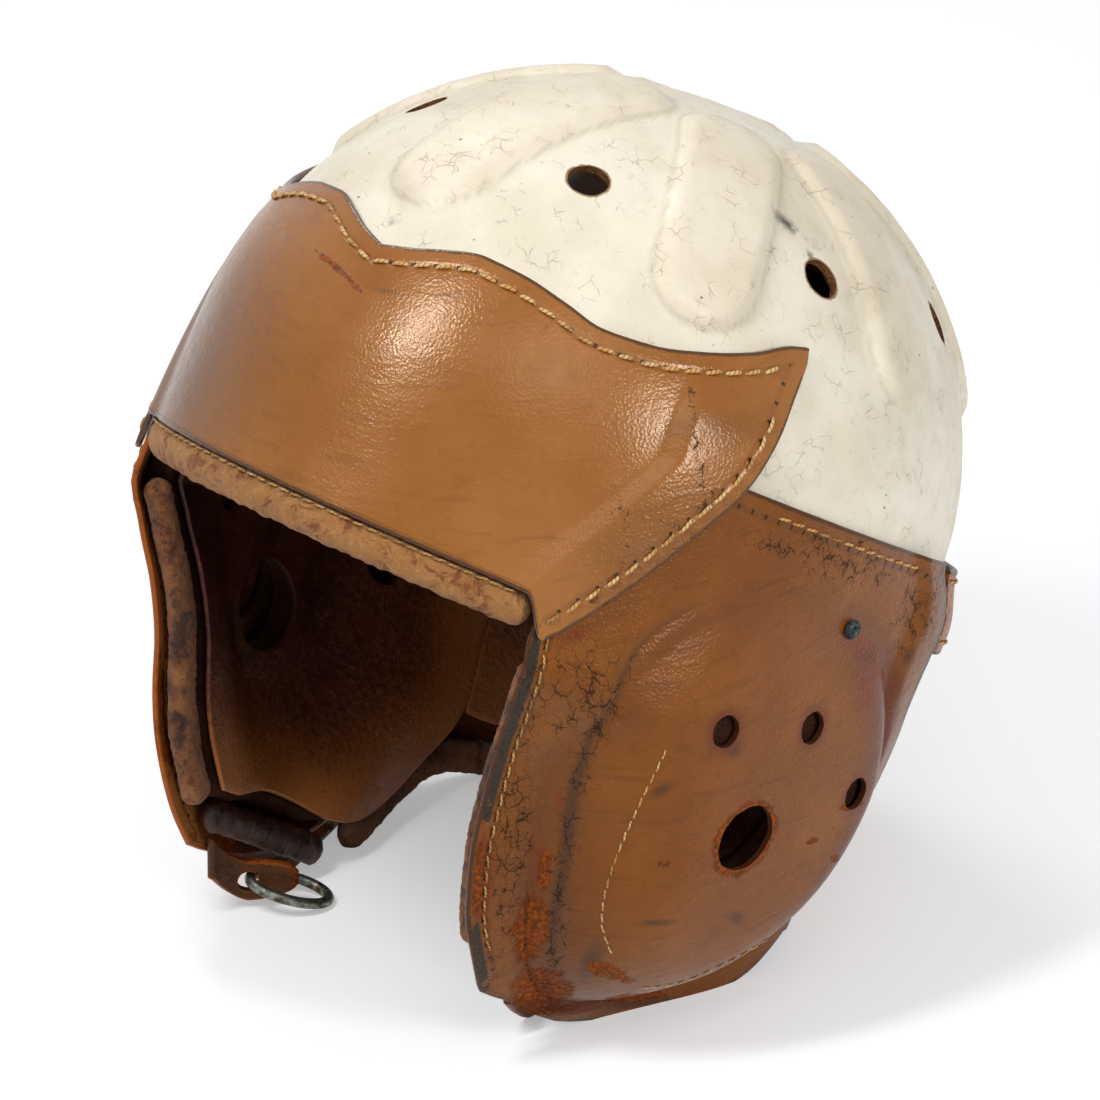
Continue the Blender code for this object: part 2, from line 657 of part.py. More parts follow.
def lining_grid(extra):
    """Azimuths and heights of the flap's lining, or of its felt when an edge step is asked for."""
    shares = np.linspace(0.0, 1.0, LINING_ROWS) * LINING_END_SHARE
    height = (LINING_TOP - shares * (LINING_TOP + SIDE_DROP))[:, None]
    waist = np.linalg.norm(form_point(np.radians(side_front(height)), height)[..., :2], axis=-1)
    start = side_front(height) + np.degrees(LINING_FRONT_INSET / waist) + extra
    rear = curve_through(LINING_REAR_SHARES, shares)[:, None] - extra
    along = np.linspace(0.0, 1.0, LINING_COLUMNS)
    azimuth = start + along * (rear - start)
    return azimuth, np.broadcast_to(height, azimuth.shape)


def make_ear_lining(side, name, stance):
    azimuth, height = lining_grid(0.0)
    outer = skin(azimuth, height, -LINING_DEPTH, hollow=True)
    inner = skin(azimuth, height, -LINING_DEPTH - LINING, hollow=True)
    finish = material(name + "_leather", DARK_LINING, LEATHER_ROUGHNESS)
    return wall(name, mirrored(outer, side), mirrored(inner, side), finish, stance)


def make_ear_pad(side, name, stance):
    azimuth, height = lining_grid(PAD_EDGE_STEP)
    height = np.concatenate([np.full((1, LINING_COLUMNS), -PAD_TOP_DROP), height[1:]])
    outer = skin(azimuth, height, -SOFT_GAP, hollow=True)
    inner = skin(azimuth, height, -SOFT_GAP - FELT, hollow=True)
    finish = material(name + "_felt", FELT_GREY, CLOTH_ROUGHNESS)
    return wall(name, mirrored(outer, side), mirrored(inner, side), finish, stance)


def make_dome_ring(side, name, stance):
    """The felt ring that fills the moulded dome round the ear hole."""
    turns = 24
    turn = np.linspace(0.0, 360.0, turns, endpoint=False)
    outline = DOME_RADIUS * round_table(DOME_RADIUS_SHARES, turn)
    inside = 0.5 * EAR_BORE
    shares = np.linspace(0.0, 0.78, 4)[:, None]
    reach = inside + shares * (outline - inside)
    back = DOME_CENTRE_BACK + reach * np.cos(np.radians(turn))
    height = -DOME_CENTRE_DROP + reach * np.sin(np.radians(turn))
    azimuth = azimuth_at(back, height)
    outer = skin(azimuth, height, -SOFT_GAP, domed=True)
    inner = skin(azimuth, height, SOFT_GAP, hollow=True)
    finish = material(name + "_felt", FELT_GREY, CLOTH_ROUGHNESS)
    return wall(name, mirrored(outer, side), mirrored(inner, side), finish, stance, wrap=True)


def azimuth_at(back, height):
    """The azimuth on the left side at which the form lies a given way back."""
    low = np.full(back.shape, 40.0)
    high = np.full(back.shape, 150.0)
    for _ in range(40):
        middle = 0.5 * (low + high)
        short = form_point(np.radians(middle), height)[..., 1] < back
        low = np.where(short, middle, low)
        high = np.where(short, high, middle)
    return 0.5 * (low + high)


def roll_rings(azimuth, height, sink, half_width, half_depth, edge_way):
    """Oval rings round a path on the skirt, wide along the edge's own way and deep along the normal."""
    centre = skin(azimuth, height, -sink)
    normal = form_normal(np.radians(azimuth), height)
    path = np.gradient(centre, axis=0)
    path = path / np.linalg.norm(path, axis=-1, keepdims=True)
    wide = np.cross(path, normal) * edge_way
    wide = wide / np.linalg.norm(wide, axis=-1, keepdims=True)
    deep = np.cross(wide, path)
    turn = np.linspace(0.0, 2.0 * math.pi, ROLL_SIDES, endpoint=False)[None, :, None]
    return centre[:, None] + half_width * np.cos(turn) * wide[:, None] + half_depth * np.sin(turn) * deep[:, None]


def make_roll(name, azimuth, height, side, finish, stance, half_width=ROLL_HALF_WIDTH):
    rings = roll_rings(azimuth, height, ROLL_SINK, half_width, ROLL_HALF_DEPTH, 1.0)
    return tube(name, mirrored(rings, side), finish, stance)


def make_brow_roll(stance):
    azimuth = np.linspace(-BROW_ROLL_AZIMUTH, BROW_ROLL_AZIMUTH, 21)
    height = np.full(azimuth.shape, -BROW_HEM_DROP + BROW_ROLL_TUCK - BROW_ROLL_HALF_HEIGHT)
    rings = roll_rings(azimuth, height, BROW_ROLL_SINK, BROW_ROLL_HALF_HEIGHT, BROW_ROLL_HALF_DEPTH, 1.0)
    tube("brow_roll", rings, material("brow_suede", SUEDE, CLOTH_ROUGHNESS), stance)


def make_front_roll(side, name, stance):
    height = np.linspace(-BROW_DROP - 2.0 * ROLL_HALF_DEPTH, side_height(0.93), 13)
    edge = side_front(height)
    waist = np.linalg.norm(form_point(np.radians(edge), height)[..., :2], axis=-1)
    azimuth = edge + np.degrees((ROLL_HALF_WIDTH - ROLL_STAND_OUT) / waist)
    return make_roll(name, azimuth, height, side, material(name + "_suede", SUEDE, CLOTH_ROUGHNESS), stance)


def make_bottom_roll(side, name, stance):
    azimuth = np.linspace(*BOTTOM_ROLL_AZIMUTHS, 9)
    height = np.full(azimuth.shape, -SIDE_DROP + BOTTOM_ROLL_RISE)
    return make_roll(name, azimuth, height, side, material(name + "_leather", BROWN, CLOTH_ROUGHNESS), stance)


def make_hem_roll(side, name, stance):
    ends = HEM_ROLL_SHARES[0][0], HEM_ROLL_SHARES[-1][0]
    azimuth = np.linspace(*ends, 11)
    height = -SIDE_DROP * curve_through([(a, s) for a, s in HEM_ROLL_SHARES], azimuth)
    finish = material(name + "_suede", SUEDE, CLOTH_ROUGHNESS)
    return make_roll(name, azimuth, height, side, finish, stance)


def make_nape_roll(stance):
    azimuth = np.linspace(NAPE_ROLL_AZIMUTH, 360.0 - NAPE_ROLL_AZIMUTH, 15)
    middle = smooth_step(1.0 - np.abs(azimuth - 180.0) / (180.0 - NAPE_ROLL_AZIMUTH))
    height = -NAPE_ROLL_END_DROP + middle * (NAPE_ROLL_END_DROP - NAPE_ROLL_MID_DROP)
    finish = material("nape_suede", SUEDE, CLOTH_ROUGHNESS)
    return make_roll("nape_roll", wrap_back(azimuth), height, 1.0, finish, stance)


def wrap_back(azimuth):
    """Azimuths past the back of the head, turned to the negative ones that mean the same place."""
    return np.where(azimuth > 180.0, azimuth - 360.0, azimuth)


def make_nape_panel(stance):
    along = np.linspace(-1.0, 1.0, 21)
    low = -NAPE_EDGE_DROP + smooth_step(1.0 - np.abs(along)) * (NAPE_EDGE_DROP - NAPE_MID_DROP)
    shares = np.array([0.0, 0.145, 0.332, 0.432, 0.533, 0.633, 0.747, 0.863, 1.0])[:, None]
    height = NAPE_TOP + shares * (low - NAPE_TOP)
    azimuth = wrap_back(180.0 + along * (180.0 - nape_front(height)))
    outer = skin(azimuth, height, GAP + LEATHER)
    inner = skin(azimuth, height, GAP)
    finish = material("nape_leather", BROWN, LEATHER_ROUGHNESS)
    return wall("nape_panel", outer, inner, finish, stance)


def make_rear_band(stance):
    azimuth = np.linspace(BAND_AZIMUTH, 360.0 - BAND_AZIMUTH, 25)
    low = -BAND_DROP
    shares = np.linspace(0.0, 1.0, 4)[:, None]
    height = BAND_TOP + shares * (low - BAND_TOP)
    azimuth = wrap_back(azimuth)
    start = LEATHER + 2.0 * GAP
    outer = skin(azimuth, height, start + BAND_LEATHER)
    inner = skin(azimuth, height, start)
    wall("rear_band", outer, inner, material("band_leather", TAN, LEATHER_ROUGHNESS), stance)


def make_nape_filling(stance):
    """The felt and the lining inside the nape."""
    azimuth = np.linspace(NAPE_LINING_AZIMUTH, 360.0 - NAPE_LINING_AZIMUTH, 15)
    middle = smooth_step(1.0 - np.abs(azimuth - 180.0) / (180.0 - NAPE_LINING_AZIMUTH))
    edge, centre = NAPE_LINING_DROPS
    low = -edge + middle * (edge - centre)
    shares = np.linspace(0.0, 1.0, 6)[:, None]
    height = LINING_TOP + shares * (low - LINING_TOP)
    spread = wrap_back(np.broadcast_to(azimuth, height.shape))
    outer = skin(spread, height, -LINING_DEPTH)
    inner = skin(spread, height, -LINING_DEPTH - LINING)
    wall("nape_lining", outer, inner, material("nape_lining_leather", DARK_LINING, LEATHER_ROUGHNESS), stance)
    height = -PAD_TOP_DROP + shares * (low + PAD_TOP_DROP)
    outer = skin(spread, height, -SOFT_GAP)
    inner = skin(spread, height, -SOFT_GAP - FELT)
    wall("nape_pad", outer, inner, material("nape_felt", FELT_GREY, CLOTH_ROUGHNESS), stance)


def make_brow_filling(stance):
    """The felt and the sweatband leather behind the brow."""
    azimuth = np.linspace(-BROW_PAD_AZIMUTH, BROW_PAD_AZIMUTH, 19)
    height = np.linspace(-PAD_TOP_DROP, -BROW_PAD_DROP, 5)[:, None]
    outer = skin(azimuth, height, -GAP)
    inner = skin(azimuth, height, -GAP - FELT)
    wall("brow_pad", outer, inner, material("brow_felt", FELT_GREY, CLOTH_ROUGHNESS), stance)
    azimuth = np.concatenate([[-BROW_LINING_AZIMUTH], azimuth, [BROW_LINING_AZIMUTH]])
    height = np.concatenate([[[BROW_LINING_TOP]], height])
    depth = GAP + FELT + GAP
    outer = skin(azimuth, height, -depth)
    inner = skin(azimuth, height, -depth - LINING)
    wall("sweatband", outer, inner, material("sweatband_leather", DARK_LINING, LEATHER_ROUGHNESS), stance)


def make_suspension(stance):
    """The leather head band, the crossing web straps and the felt at the top of the crown."""
    web_outer = -SHELL_WALL - LINING_GAP
    band_outer = web_outer - WEB_THICKNESS - SOFT_GAP
    azimuth = np.linspace(0.0, 360.0, 32, endpoint=False)
    height = np.linspace(HEAD_BAND_TOP, HEAD_BAND_LOW, 3)[:, None]
    signed = wrap_back(azimuth)
    outer = skin(signed, height, band_outer, dressed=False)
    inner = skin(signed, height, band_outer - HEAD_BAND_LEATHER, dressed=False)
    wall("head_band", outer, inner, material("band_tan", TAN, CLOTH_ROUGHNESS), stance, wrap=True)
    for index in range(WEB_COUNT):
        make_web_strap(index, web_outer, stance)
    azimuth = np.linspace(0.0, 2.0 * math.pi, 20, endpoint=False)
    polar = np.radians(np.linspace(0.0, CROWN_FELT_ANGLE, 5))[:, None]
    point, normal = crown_point(polar, azimuth)
    outer = point - (SHELL_WALL + SOFT_GAP) * normal
    inner = point - (SHELL_WALL + SOFT_GAP + CROWN_FELT) * normal
    wall("crown_felt", outer, inner, material("crown_felt_grey", FELT_GREY, CLOTH_ROUGHNESS), stance, wrap="pole")


def make_web_strap(index, web_outer, stance):
    """One strap from the band over the top of the head to the band again, hanging free of the crown."""
    heading = math.radians(index * 180.0 / WEB_COUNT + 0.5 * 180.0 / WEB_COUNT)
    polar = np.radians(np.linspace(-WEB_END_ANGLE, WEB_END_ANGLE, 27))
    point, _ = crown_point(polar, np.full(polar.shape, heading))
    start, full = (math.radians(angle) for angle in WEB_HANG_ANGLES)
    hang = smooth_step((start - np.abs(polar)) / (start - full)) * (WEB_SLACK + WEB_STACK * index)
    across = np.array([math.cos(heading), math.sin(heading), 0.0])
    outer = []
    inner = []
    for share in (-1.0, 0.0, 1.0):
        shifted = point + share * WEB_HALF_WIDTH * across
        shifted = shifted - np.array([0.0, CROWN_BACK, -CROWN_SINK])
        edge, normal = crown_toward(shifted / np.linalg.norm(shifted, axis=-1, keepdims=True))
        outer.append(edge + (web_outer - hang)[:, None] * normal)
        inner.append(edge + (web_outer - hang - WEB_THICKNESS)[:, None] * normal)
    name = f"web_strap_{index + 1}"
    finish = material(name + "_web", WEB_CREAM, CLOTH_ROUGHNESS)
    wall(name, np.stack(outer, axis=1), np.stack(inner, axis=1), finish, stance)


def make_ear_rivet(side, suffix, stance):
    """A tubular rivet with its head on the leather and a burr on the lining."""
    azimuth = float(azimuth_at(np.array(RIVET_BACK), np.array(-RIVET_DROP)))
    face = skin(azimuth, np.array(-RIVET_DROP), GAP + LEATHER, domed=True)
    lining = skin(azimuth, np.array(-RIVET_DROP), -LINING_DEPTH - LINING, hollow=True)
    out = float(face[0]) + SOFT_GAP
    deep = float(lining[0]) - 2.0 * SOFT_GAP - BURR_THICKNESS - RIVET_PLAY
    head = 0.5 * RIVET_HEAD
    shank = 0.5 * RIVET_SHANK
    crowned, risen = RIVET_CROWN_SHARES
    profile = [
        (0.0, out + RIVET_HEAD_RISE), (crowned * head, out + risen * RIVET_HEAD_RISE), (head, out),
        (shank, out), (shank, deep), (0.0, deep),
    ]
    steel = material("rivet_steel" + suffix, STEEL, STEEL_ROUGHNESS, 1.0)
    turned("ear_rivet" + suffix, profile, side, steel, stance)
    inside = float(lining[0]) - SOFT_GAP
    reach = shank + 0.5 * RIVET_PLAY
    burr = [
        (reach, inside), (head, inside), (head, inside - BURR_THICKNESS), (reach, inside - BURR_THICKNESS),
    ]
    turned("rivet_burr" + suffix, burr, side, material("burr_steel" + suffix, STEEL, STEEL_ROUGHNESS, 1.0), stance, True)


def turned(name, profile, side, finish, stance, ring=False):
    """A small turned piece round a line along X at the rivet's place, from radius and reach along X."""
    turn = np.linspace(0.0, 2.0 * math.pi, RIVET_SIDES, endpoint=False)
    rings = []
    for radius, reach in profile:
        radius = max(radius, RIVET_PLAY)
        back = RIVET_BACK + radius * np.cos(turn)
        up = -RIVET_DROP + radius * np.sin(turn)
        rings.append(np.stack([np.full(RIVET_SIDES, side * reach), back, up], axis=-1))
    return tube(name, np.array(rings), finish, stance, closed=ring)


def flap_corner():
    """The lower front corner of the left flap as it stands on the table, before the table wears it flat."""
    corner = form_point(np.radians(side_front(np.array(-SIDE_DROP))), np.array(-SIDE_DROP))
    return stance_frame() @ Vector(corner)


def table_frame(side):
    """The place and turn of a chin tab under its flap: X along the tab, Y across it, Z up."""
    flap = 0 if side > 0.0 else 1
    corner = flap_corner()
    turn = math.radians(TAB_TURNS[flap])
    inward = Vector((-side * math.sin(turn), math.cos(turn), 0.0))
    upward = Vector((0.0, 0.0, 1.0))
    place = Matrix.Identity(4)
    place.col[0][:3] = inward
    place.col[1][:3] = upward.cross(inward)
    place.col[2][:3] = upward
    out = corner.x - TAB_INS[flap]
    place.col[3][:3] = Vector((side * out, corner.y + TAB_BACKS[flap], corner.z - TAB_DROPS[flap]))
    return place


def tab_path(side):
    """Points along the tab's middle, from its root under the flap to its round end past the hole."""
    place = table_frame(side)
    lean = -side * TAB_ROOT_FRONT * place.col[0][0] / place.col[0][1]
    path = []
    for back in np.linspace(1.0, 0.0, 7)[:-1]:
        out = lean * back - (lean - TAB_ROOT_OUT) * back**2
        rise = TAB_ROOT_RISE * back**TAB_RISE_POWER
        path.append(place.translation + Vector((side * out, -TAB_ROOT_FRONT * back, rise)))
    path += [place @ Vector((TAB_TIP * share, 0.0, 0.0)) for share in TAB_END_SHARES]
    return path


def make_chin_tab(side, name):
    """A leather tab that leads on from the flap's leather, turns inward and ends round past its hole."""
    path = tab_path(side)
    upward = Vector((0.0, 0.0, 1.0))
    bends = len(path) - len(TAB_END_SHARES)
    outer = []
    inner = []
    for index, point in enumerate(path):
        ahead = path[min(index + 1, len(path) - 1)] - path[max(index - 1, 0)]
        ahead.z = 0.0
        through = upward.cross(ahead.normalized()) * 0.5 * TAB_LEATHER
        share = TAB_END_SHARES[index - bends] if index >= bends else 0.0
        half = TAB_HALF_WIDTH * math.sqrt(1.0 - TAB_BLUNT_SHARE * share**2)
        outer.append([point + through + upward * half * step for step in (-1.0, 0.0, 1.0)])
        inner.append([point - through + upward * half * step for step in (-1.0, 0.0, 1.0)])
    finish = material(name + "_leather", BROWN, LEATHER_ROUGHNESS)
    tab = wall(name, np.array(outer), np.array(inner), finish, None)
    place = table_frame(side)
    hole = (tuple(place.translation), tuple(place.col[1][:3]), 0.5 * TAB_HOLE, CUTTER_LENGTH, 14)
    cut(tab, cutter(name + "_hole", [hole], None))
    return tab


def make_chin_ring(side, name):
    """An oval wire ring drawn to the edge of the tab's hole. Its origin is on the line that it swings round."""
    place = table_frame(side) @ Matrix.Translation((RING_SEAT, 0.0, 0.0))
    half_length = 0.5 * (RING_LENGTH - RING_WIRE)
    half_width = 0.5 * (RING_WIDTH - RING_WIRE)
    turn = np.linspace(0.0, 2.0 * math.pi, RING_STEPS, endpoint=False)
    centre = np.stack([half_length * (1.0 + np.cos(turn)), half_width * np.sin(turn), 0.0 * turn], axis=-1)
    path = np.stack([-half_length * np.sin(turn), half_width * np.cos(turn), 0.0 * turn], axis=-1)
    path = path / np.linalg.norm(path, axis=-1, keepdims=True)
    out = np.cross(path, np.array([0.0, 0.0, 1.0]))
    ring_turn = np.linspace(0.0, 2.0 * math.pi, RING_SIDES, endpoint=False)[None, :, None]
    rings = centre[:, None] + 0.5 * RING_WIRE * (
        np.cos(ring_turn) * out[:, None] + np.sin(ring_turn) * np.array([0.0, 0.0, 1.0])
    )
    steel = material(name + "_steel", STEEL, STEEL_ROUGHNESS, 1.0)
    ring = tube(name, rings, steel, None, closed=True)
    droop = Matrix.Rotation(math.radians(RING_DROOP), 4, "Y")
    ring.matrix_world = place @ droop
    return ring


def make_helmet():
    clear_scene()
    stance = make_stance()
    floor = make_floor_cutter()
    make_crown_shell(stance)
    make_front_panel(stance)
    make_brow_roll(stance)
    make_brow_filling(stance)
    standing = [make_nape_panel(stance), make_nape_roll(stance)]
    make_rear_band(stance)
    make_nape_filling(stance)
    make_suspension(stance)
    for side, suffix in ((1.0, "_left"), (-1.0, "_right")):
        leather, felt, lined = ear_cutters(side, suffix, stance)
        panel = make_side_panel(side, "side_panel" + suffix, stance)
        cut(panel, leather)
        pad = make_ear_pad(side, "ear_pad" + suffix, stance)
        cut(pad, felt)
        lining = make_ear_lining(side, "ear_lining" + suffix, stance)
        cut(lining, lined)
        make_dome_ring(side, "dome_ring" + suffix, stance)
        make_front_roll(side, "front_roll" + suffix, stance)
        make_bottom_roll(side, "bottom_roll" + suffix, stance)
        standing += [panel, make_hem_roll(side, "hem_roll" + suffix, stance)]
        make_ear_rivet(side, suffix, stance)
        make_chin_tab(side, "chin_tab" + suffix)
    make_chin_ring(-1.0, "chin_ring_right")
    for piece in standing:
        cut(piece, floor)


make_helmet()
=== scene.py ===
"""The looks of a vintage football helmet: an ivory fibre crown over a sewn leather skirt with moulded ear domes.

Every surface is worked out with numpy from one form, in metres, in the helmet's worn frame: +X is the wearer's
left, -Y the front and +Z up from the crown's centre. The form then leans back onto the table. Azimuths run from
the front round the wearer's left side, in degrees.
"""

import logging
import math
from dataclasses import dataclass
from enum import Enum

import bmesh
import bpy
import numpy as np
from mathutils import Matrix, Vector


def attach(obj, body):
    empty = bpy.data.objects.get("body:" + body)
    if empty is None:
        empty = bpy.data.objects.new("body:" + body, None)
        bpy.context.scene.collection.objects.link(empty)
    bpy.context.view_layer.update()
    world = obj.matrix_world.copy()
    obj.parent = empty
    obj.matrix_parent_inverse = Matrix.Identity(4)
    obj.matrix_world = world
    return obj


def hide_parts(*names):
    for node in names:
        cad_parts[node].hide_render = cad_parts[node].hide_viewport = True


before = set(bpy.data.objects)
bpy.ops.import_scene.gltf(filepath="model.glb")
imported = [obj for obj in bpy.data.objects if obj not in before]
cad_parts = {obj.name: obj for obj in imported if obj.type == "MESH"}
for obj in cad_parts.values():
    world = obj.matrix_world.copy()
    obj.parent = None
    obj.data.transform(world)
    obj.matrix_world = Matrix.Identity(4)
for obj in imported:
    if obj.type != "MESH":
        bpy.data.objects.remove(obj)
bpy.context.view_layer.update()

LOG = logging.getLogger("helmet")
MILLI = 0.001
SIDES = ((1.0, "_left"), (-1.0, "_right"))
CUT_EDGE = 1.5 * MILLI
NO_SEAM = 20.0 * MILLI
Array = np.ndarray
Socket = bpy.types.NodeSocket


class Lap(Enum):
    """Which form a surface follows."""

    BARE = "the crown's own surface"
    PLAIN = "the leather's line, without the ear domes"
    DOMED = "the leather with the moulded ear domes"
    HOLLOW = "the softer hollow under the domes"


def smooth_step(value: Array) -> Array:
    """Rises from 0 to 1 with level ends: three times the square less twice the cube."""
    held = np.clip(value, 0.0, 1.0)
    return held * held * (3.0 - 2.0 * held)


def unit(ways: Array, least: float = 0.0) -> Array:
    """Ways made one long, each divided by its length or by the least if it is shorter."""
    return ways / np.maximum(np.linalg.norm(ways, axis=-1, keepdims=True), least)


def full_turn(count: int) -> Array:
    """Even turns round a circle, in radians."""
    return np.linspace(0.0, 2.0 * math.pi, count, endpoint=False)


def run_along(line: Array) -> Array:
    """How far along a line each of its points lies."""
    return np.concatenate([[0.0], np.cumsum(np.linalg.norm(np.diff(line, axis=0), axis=1))])


def curve_through(table: tuple, value: Array, cyclic: bool = False) -> Array:
    """Reads a smooth cubic through a table's points, by cubic pieces with the mean slope at each point.

    Args:
        table: Pairs of place and height, in rising order of place.
        value: Places to read.
        cyclic: Whether the last point is the first one again.

    Returns:
        The height at each place.
    """
    places = np.array([row[0] for row in table], float)
    heights = np.array([row[1] for row in table], float)
    rates = np.diff(heights) / np.diff(places)
    before = np.concatenate([rates[-1:] if cyclic else rates[:1], rates])
    after = np.concatenate([rates, rates[:1] if cyclic else rates[-1:]])
    level = before * after <= 0.0
    slopes = np.where(level, 0.0, 2.0 * before * after / np.where(level, 1.0, before + after))
    if cyclic:
        slopes = 0.5 * (before + after)
    value = np.clip(value, places[0], places[-1])
    cell = np.clip(np.searchsorted(places, value, side="right") - 1, 0, len(places) - 2)
    span = places[cell + 1] - places[cell]
    t = (value - places[cell]) / span
    start = heights[cell] * (1.0 + 2.0 * t) * (1.0 - t) ** 2
    end = heights[cell + 1] * t * t * (3.0 - 2.0 * t)
    lean = slopes[cell] * span * t * (1.0 - t) ** 2 - slopes[cell + 1] * span * t * t * (1.0 - t)
    return start + end + lean


def round_table(values: tuple, turn: Array) -> Array:
    """Reads evenly spaced values round a circle, at each turn in degrees."""
    count = len(values)
    return curve_through(tuple((360.0 * i / count, values[i % count]) for i in range(count + 1)), turn, cyclic=True)


def ripple(points: Array, size: float, seed: int = 1) -> Array:
    """Smooth bumps from -1 to 1: the mean of nine sine waves that run in fixed random ways.

    Args:
        points: Places in metres, with three columns last.
        size: The bumps' length in metres.
        seed: Chooses the waves.

    Returns:
        One value for each point.
    """
    chance = np.random.default_rng(seed)
    ways = chance.normal(size=(9, 3))
    ways = unit(ways) * chance.uniform(0.6, 1.5, (9, 1))
    waves = np.sin(points @ ways.T * (2.0 * math.pi / size) + chance.uniform(0.0, 6.28, 9))
    return waves.mean(axis=-1) * 2.0


@dataclass(frozen=True)
class HelmetForm:
    """The surface that the shell and every leather lie on, with the sizes it follows, in metres and degrees."""

    lean_back: float = 34.0
    floor_drop: float = 0.1485
    stand_back: float = 0.0030
    crown_half_width: float = 0.107
    crown_half_length: float = 0.1265
    crown_half_height: float = 0.1105
    crown_tilt: float = 9.0
    crown_back: float = 0.0024
    crown_sink: float = 0.0018
    waist_blend: float = 0.015
    flare_rise: float = 0.0045
    flare_top: float = 0.008
    flare_depth: float = 0.018
    flare_end: float = 0.097
    flare_azimuths: tuple = (95.0, 125.0)
    tuck_deepest: float = 0.180
    tuck_shares: tuple = (
        (0.25, 0.0), (0.32, 0.001), (0.40, 0.051), (0.48, 0.109), (0.56, 0.149), (0.643, 0.175),
        (0.708, 0.196), (0.772, 0.220), (0.82, 0.235), (0.867, 0.255), (1.0, 0.305),
    )
    tuck_near_back: float = 0.110
    tuck_full_back: float = 0.030
    tuck_near_side: float = 0.028
    dome_centre_back: float = 0.009
    dome_centre_drop: float = 0.082
    dome_radius: float = 0.060
    dome_radius_shares: tuple = (0.95, 1.03, 1.12, 1.15, 1.16, 1.12, 0.98, 0.86, 0.93, 1.13, 1.08, 0.97)
    dome_reach: float = 0.1105
    dome_crown_drop: float = 0.064
    dome_crown_back: float = 0.012
    dome_bow_back: float = 0.450
    dome_bow_drop: float = 0.187
    dome_rim_powers: tuple = (14.0, 14.0, 12.0, 9.0, 6.0, 3.5, 3.2, 3.2, 3.6, 4.2, 5.5, 9.0)
    dome_cap_powers: tuple = (0.5, 0.5, 0.55, 0.7, 0.9, 1.25, 1.3, 1.2, 0.95, 0.75, 0.6, 0.5)
    hollow_share: float = 0.62
    hollow_ease: float = 0.62
    normal_step: float = 0.0005
    normal_turn: float = 0.3

    def crown_radius(self, azimuth: Array, height: Array) -> Array:
        """The tilted ellipsoid's distance from its upright axis, which stays level below its waist."""
        tilt = math.radians(self.crown_tilt)
        height = height + self.crown_sink
        blended = (height + self.waist_blend) ** 2 / (4.0 * self.waist_blend)
        height = np.where(height > self.waist_blend, height, np.where(height < -self.waist_blend, 0.0, blended))
        across, along = np.sin(azimuth), np.cos(azimuth)
        long_share, high_share = 1.0 / self.crown_half_length**2, 1.0 / self.crown_half_height**2
        long_end = math.cos(tilt) ** 2 * long_share + math.sin(tilt) ** 2 * high_share
        square = across**2 / self.crown_half_width**2 + along**2 * long_end
        cross = along * height * math.sin(tilt) * math.cos(tilt) * (high_share - long_share)
        rest = height**2 * (math.sin(tilt) ** 2 * long_share + math.cos(tilt) ** 2 * high_share) - 1.0
        return (-cross + np.sqrt(cross**2 - square * rest)) / square

    def flare(self, azimuth: Array, height: Array) -> Array:
        """How far the leather stands off the crown's plumb line round the back."""
        start, full = (math.radians(angle) for angle in self.flare_azimuths)
        about = smooth_step((np.abs(azimuth) - start) / (full - start))
        below = smooth_step((self.flare_top - height) / self.flare_depth)
        fade = np.clip((self.flare_end + height) / (self.flare_end - self.flare_depth), 0.0, 1.0)
        return self.flare_rise * about * below * fade

    def tuck(self, back: Array, height: Array) -> Array:
        """How far the skirt leans in toward the jaw."""
        leaned = self.tuck_deepest * curve_through(self.tuck_shares, -height / self.tuck_deepest)
        return leaned * smooth_step((self.tuck_near_back - back) / (self.tuck_near_back - self.tuck_full_back))

    def dome_share(self, back: Array, height: Array) -> tuple[Array, Array]:
        """The share of the way from the dome's centre to its outline, and the turn there in degrees."""
        across, up = back - self.dome_centre_back, height + self.dome_centre_drop
        turn = np.degrees(np.arctan2(up, across)) % 360.0
        return np.hypot(across, up) / (self.dome_radius * round_table(self.dome_radius_shares, turn)), turn

    def dome_lift(self, reach: Array, back: Array, height: Array, lap: Lap) -> Array:
        """How far the moulded dome, or the hollow under it, stands out past the plain leather."""
        share, turn = self.dome_share(back, height)
        bow = (back - self.dome_crown_back) ** 2 / (2.0 * self.dome_bow_back)
        bow = bow + (height + self.dome_crown_drop) ** 2 / (2.0 * self.dome_bow_drop)
        held = np.clip(share, 0.0, 1.0) ** round_table(self.dome_rim_powers, turn)
        cap = (1.0 - held) ** round_table(self.dome_cap_powers, turn)
        if lap is Lap.HOLLOW:
            cap = self.hollow_share * smooth_step((1.0 - share) / self.hollow_ease)
        return np.maximum(self.dome_reach - bow - reach, 0.0) * cap

    def point(self, azimuth: Array, height: Array, lap: Lap) -> Array:
        """Points of the form: radius round the upright axis, less the tuck, plus the dome's lift along X."""
        radius = self.crown_radius(azimuth, height)
        if lap is not Lap.BARE:
            radius = radius + self.flare(azimuth, height)
        x = radius * np.sin(azimuth)
        y = self.crown_back - radius * np.cos(azimuth)
        if lap is not Lap.BARE:
            near = smooth_step((np.abs(x) - self.tuck_near_side) / self.tuck_near_side)
            x = x - np.sign(x) * self.tuck(y, height) * near
        if lap in (Lap.DOMED, Lap.HOLLOW):
            x = x + np.sign(x) * self.dome_lift(np.abs(x), y, height, lap)
        return np.stack([x, y, height + 0.0 * x], axis=-1)

    def normal(self, azimuth: Array, height: Array, lap: Lap) -> Array:
        """Unit normals of the form, from small steps either way."""
        turn = math.radians(self.normal_turn)
        around = self.point(azimuth + turn, height, lap) - self.point(azimuth - turn, height, lap)
        upward = self.point(azimuth, height + self.normal_step, lap)
        upward = upward - self.point(azimuth, height - self.normal_step, lap)
        return unit(np.cross(around, upward))

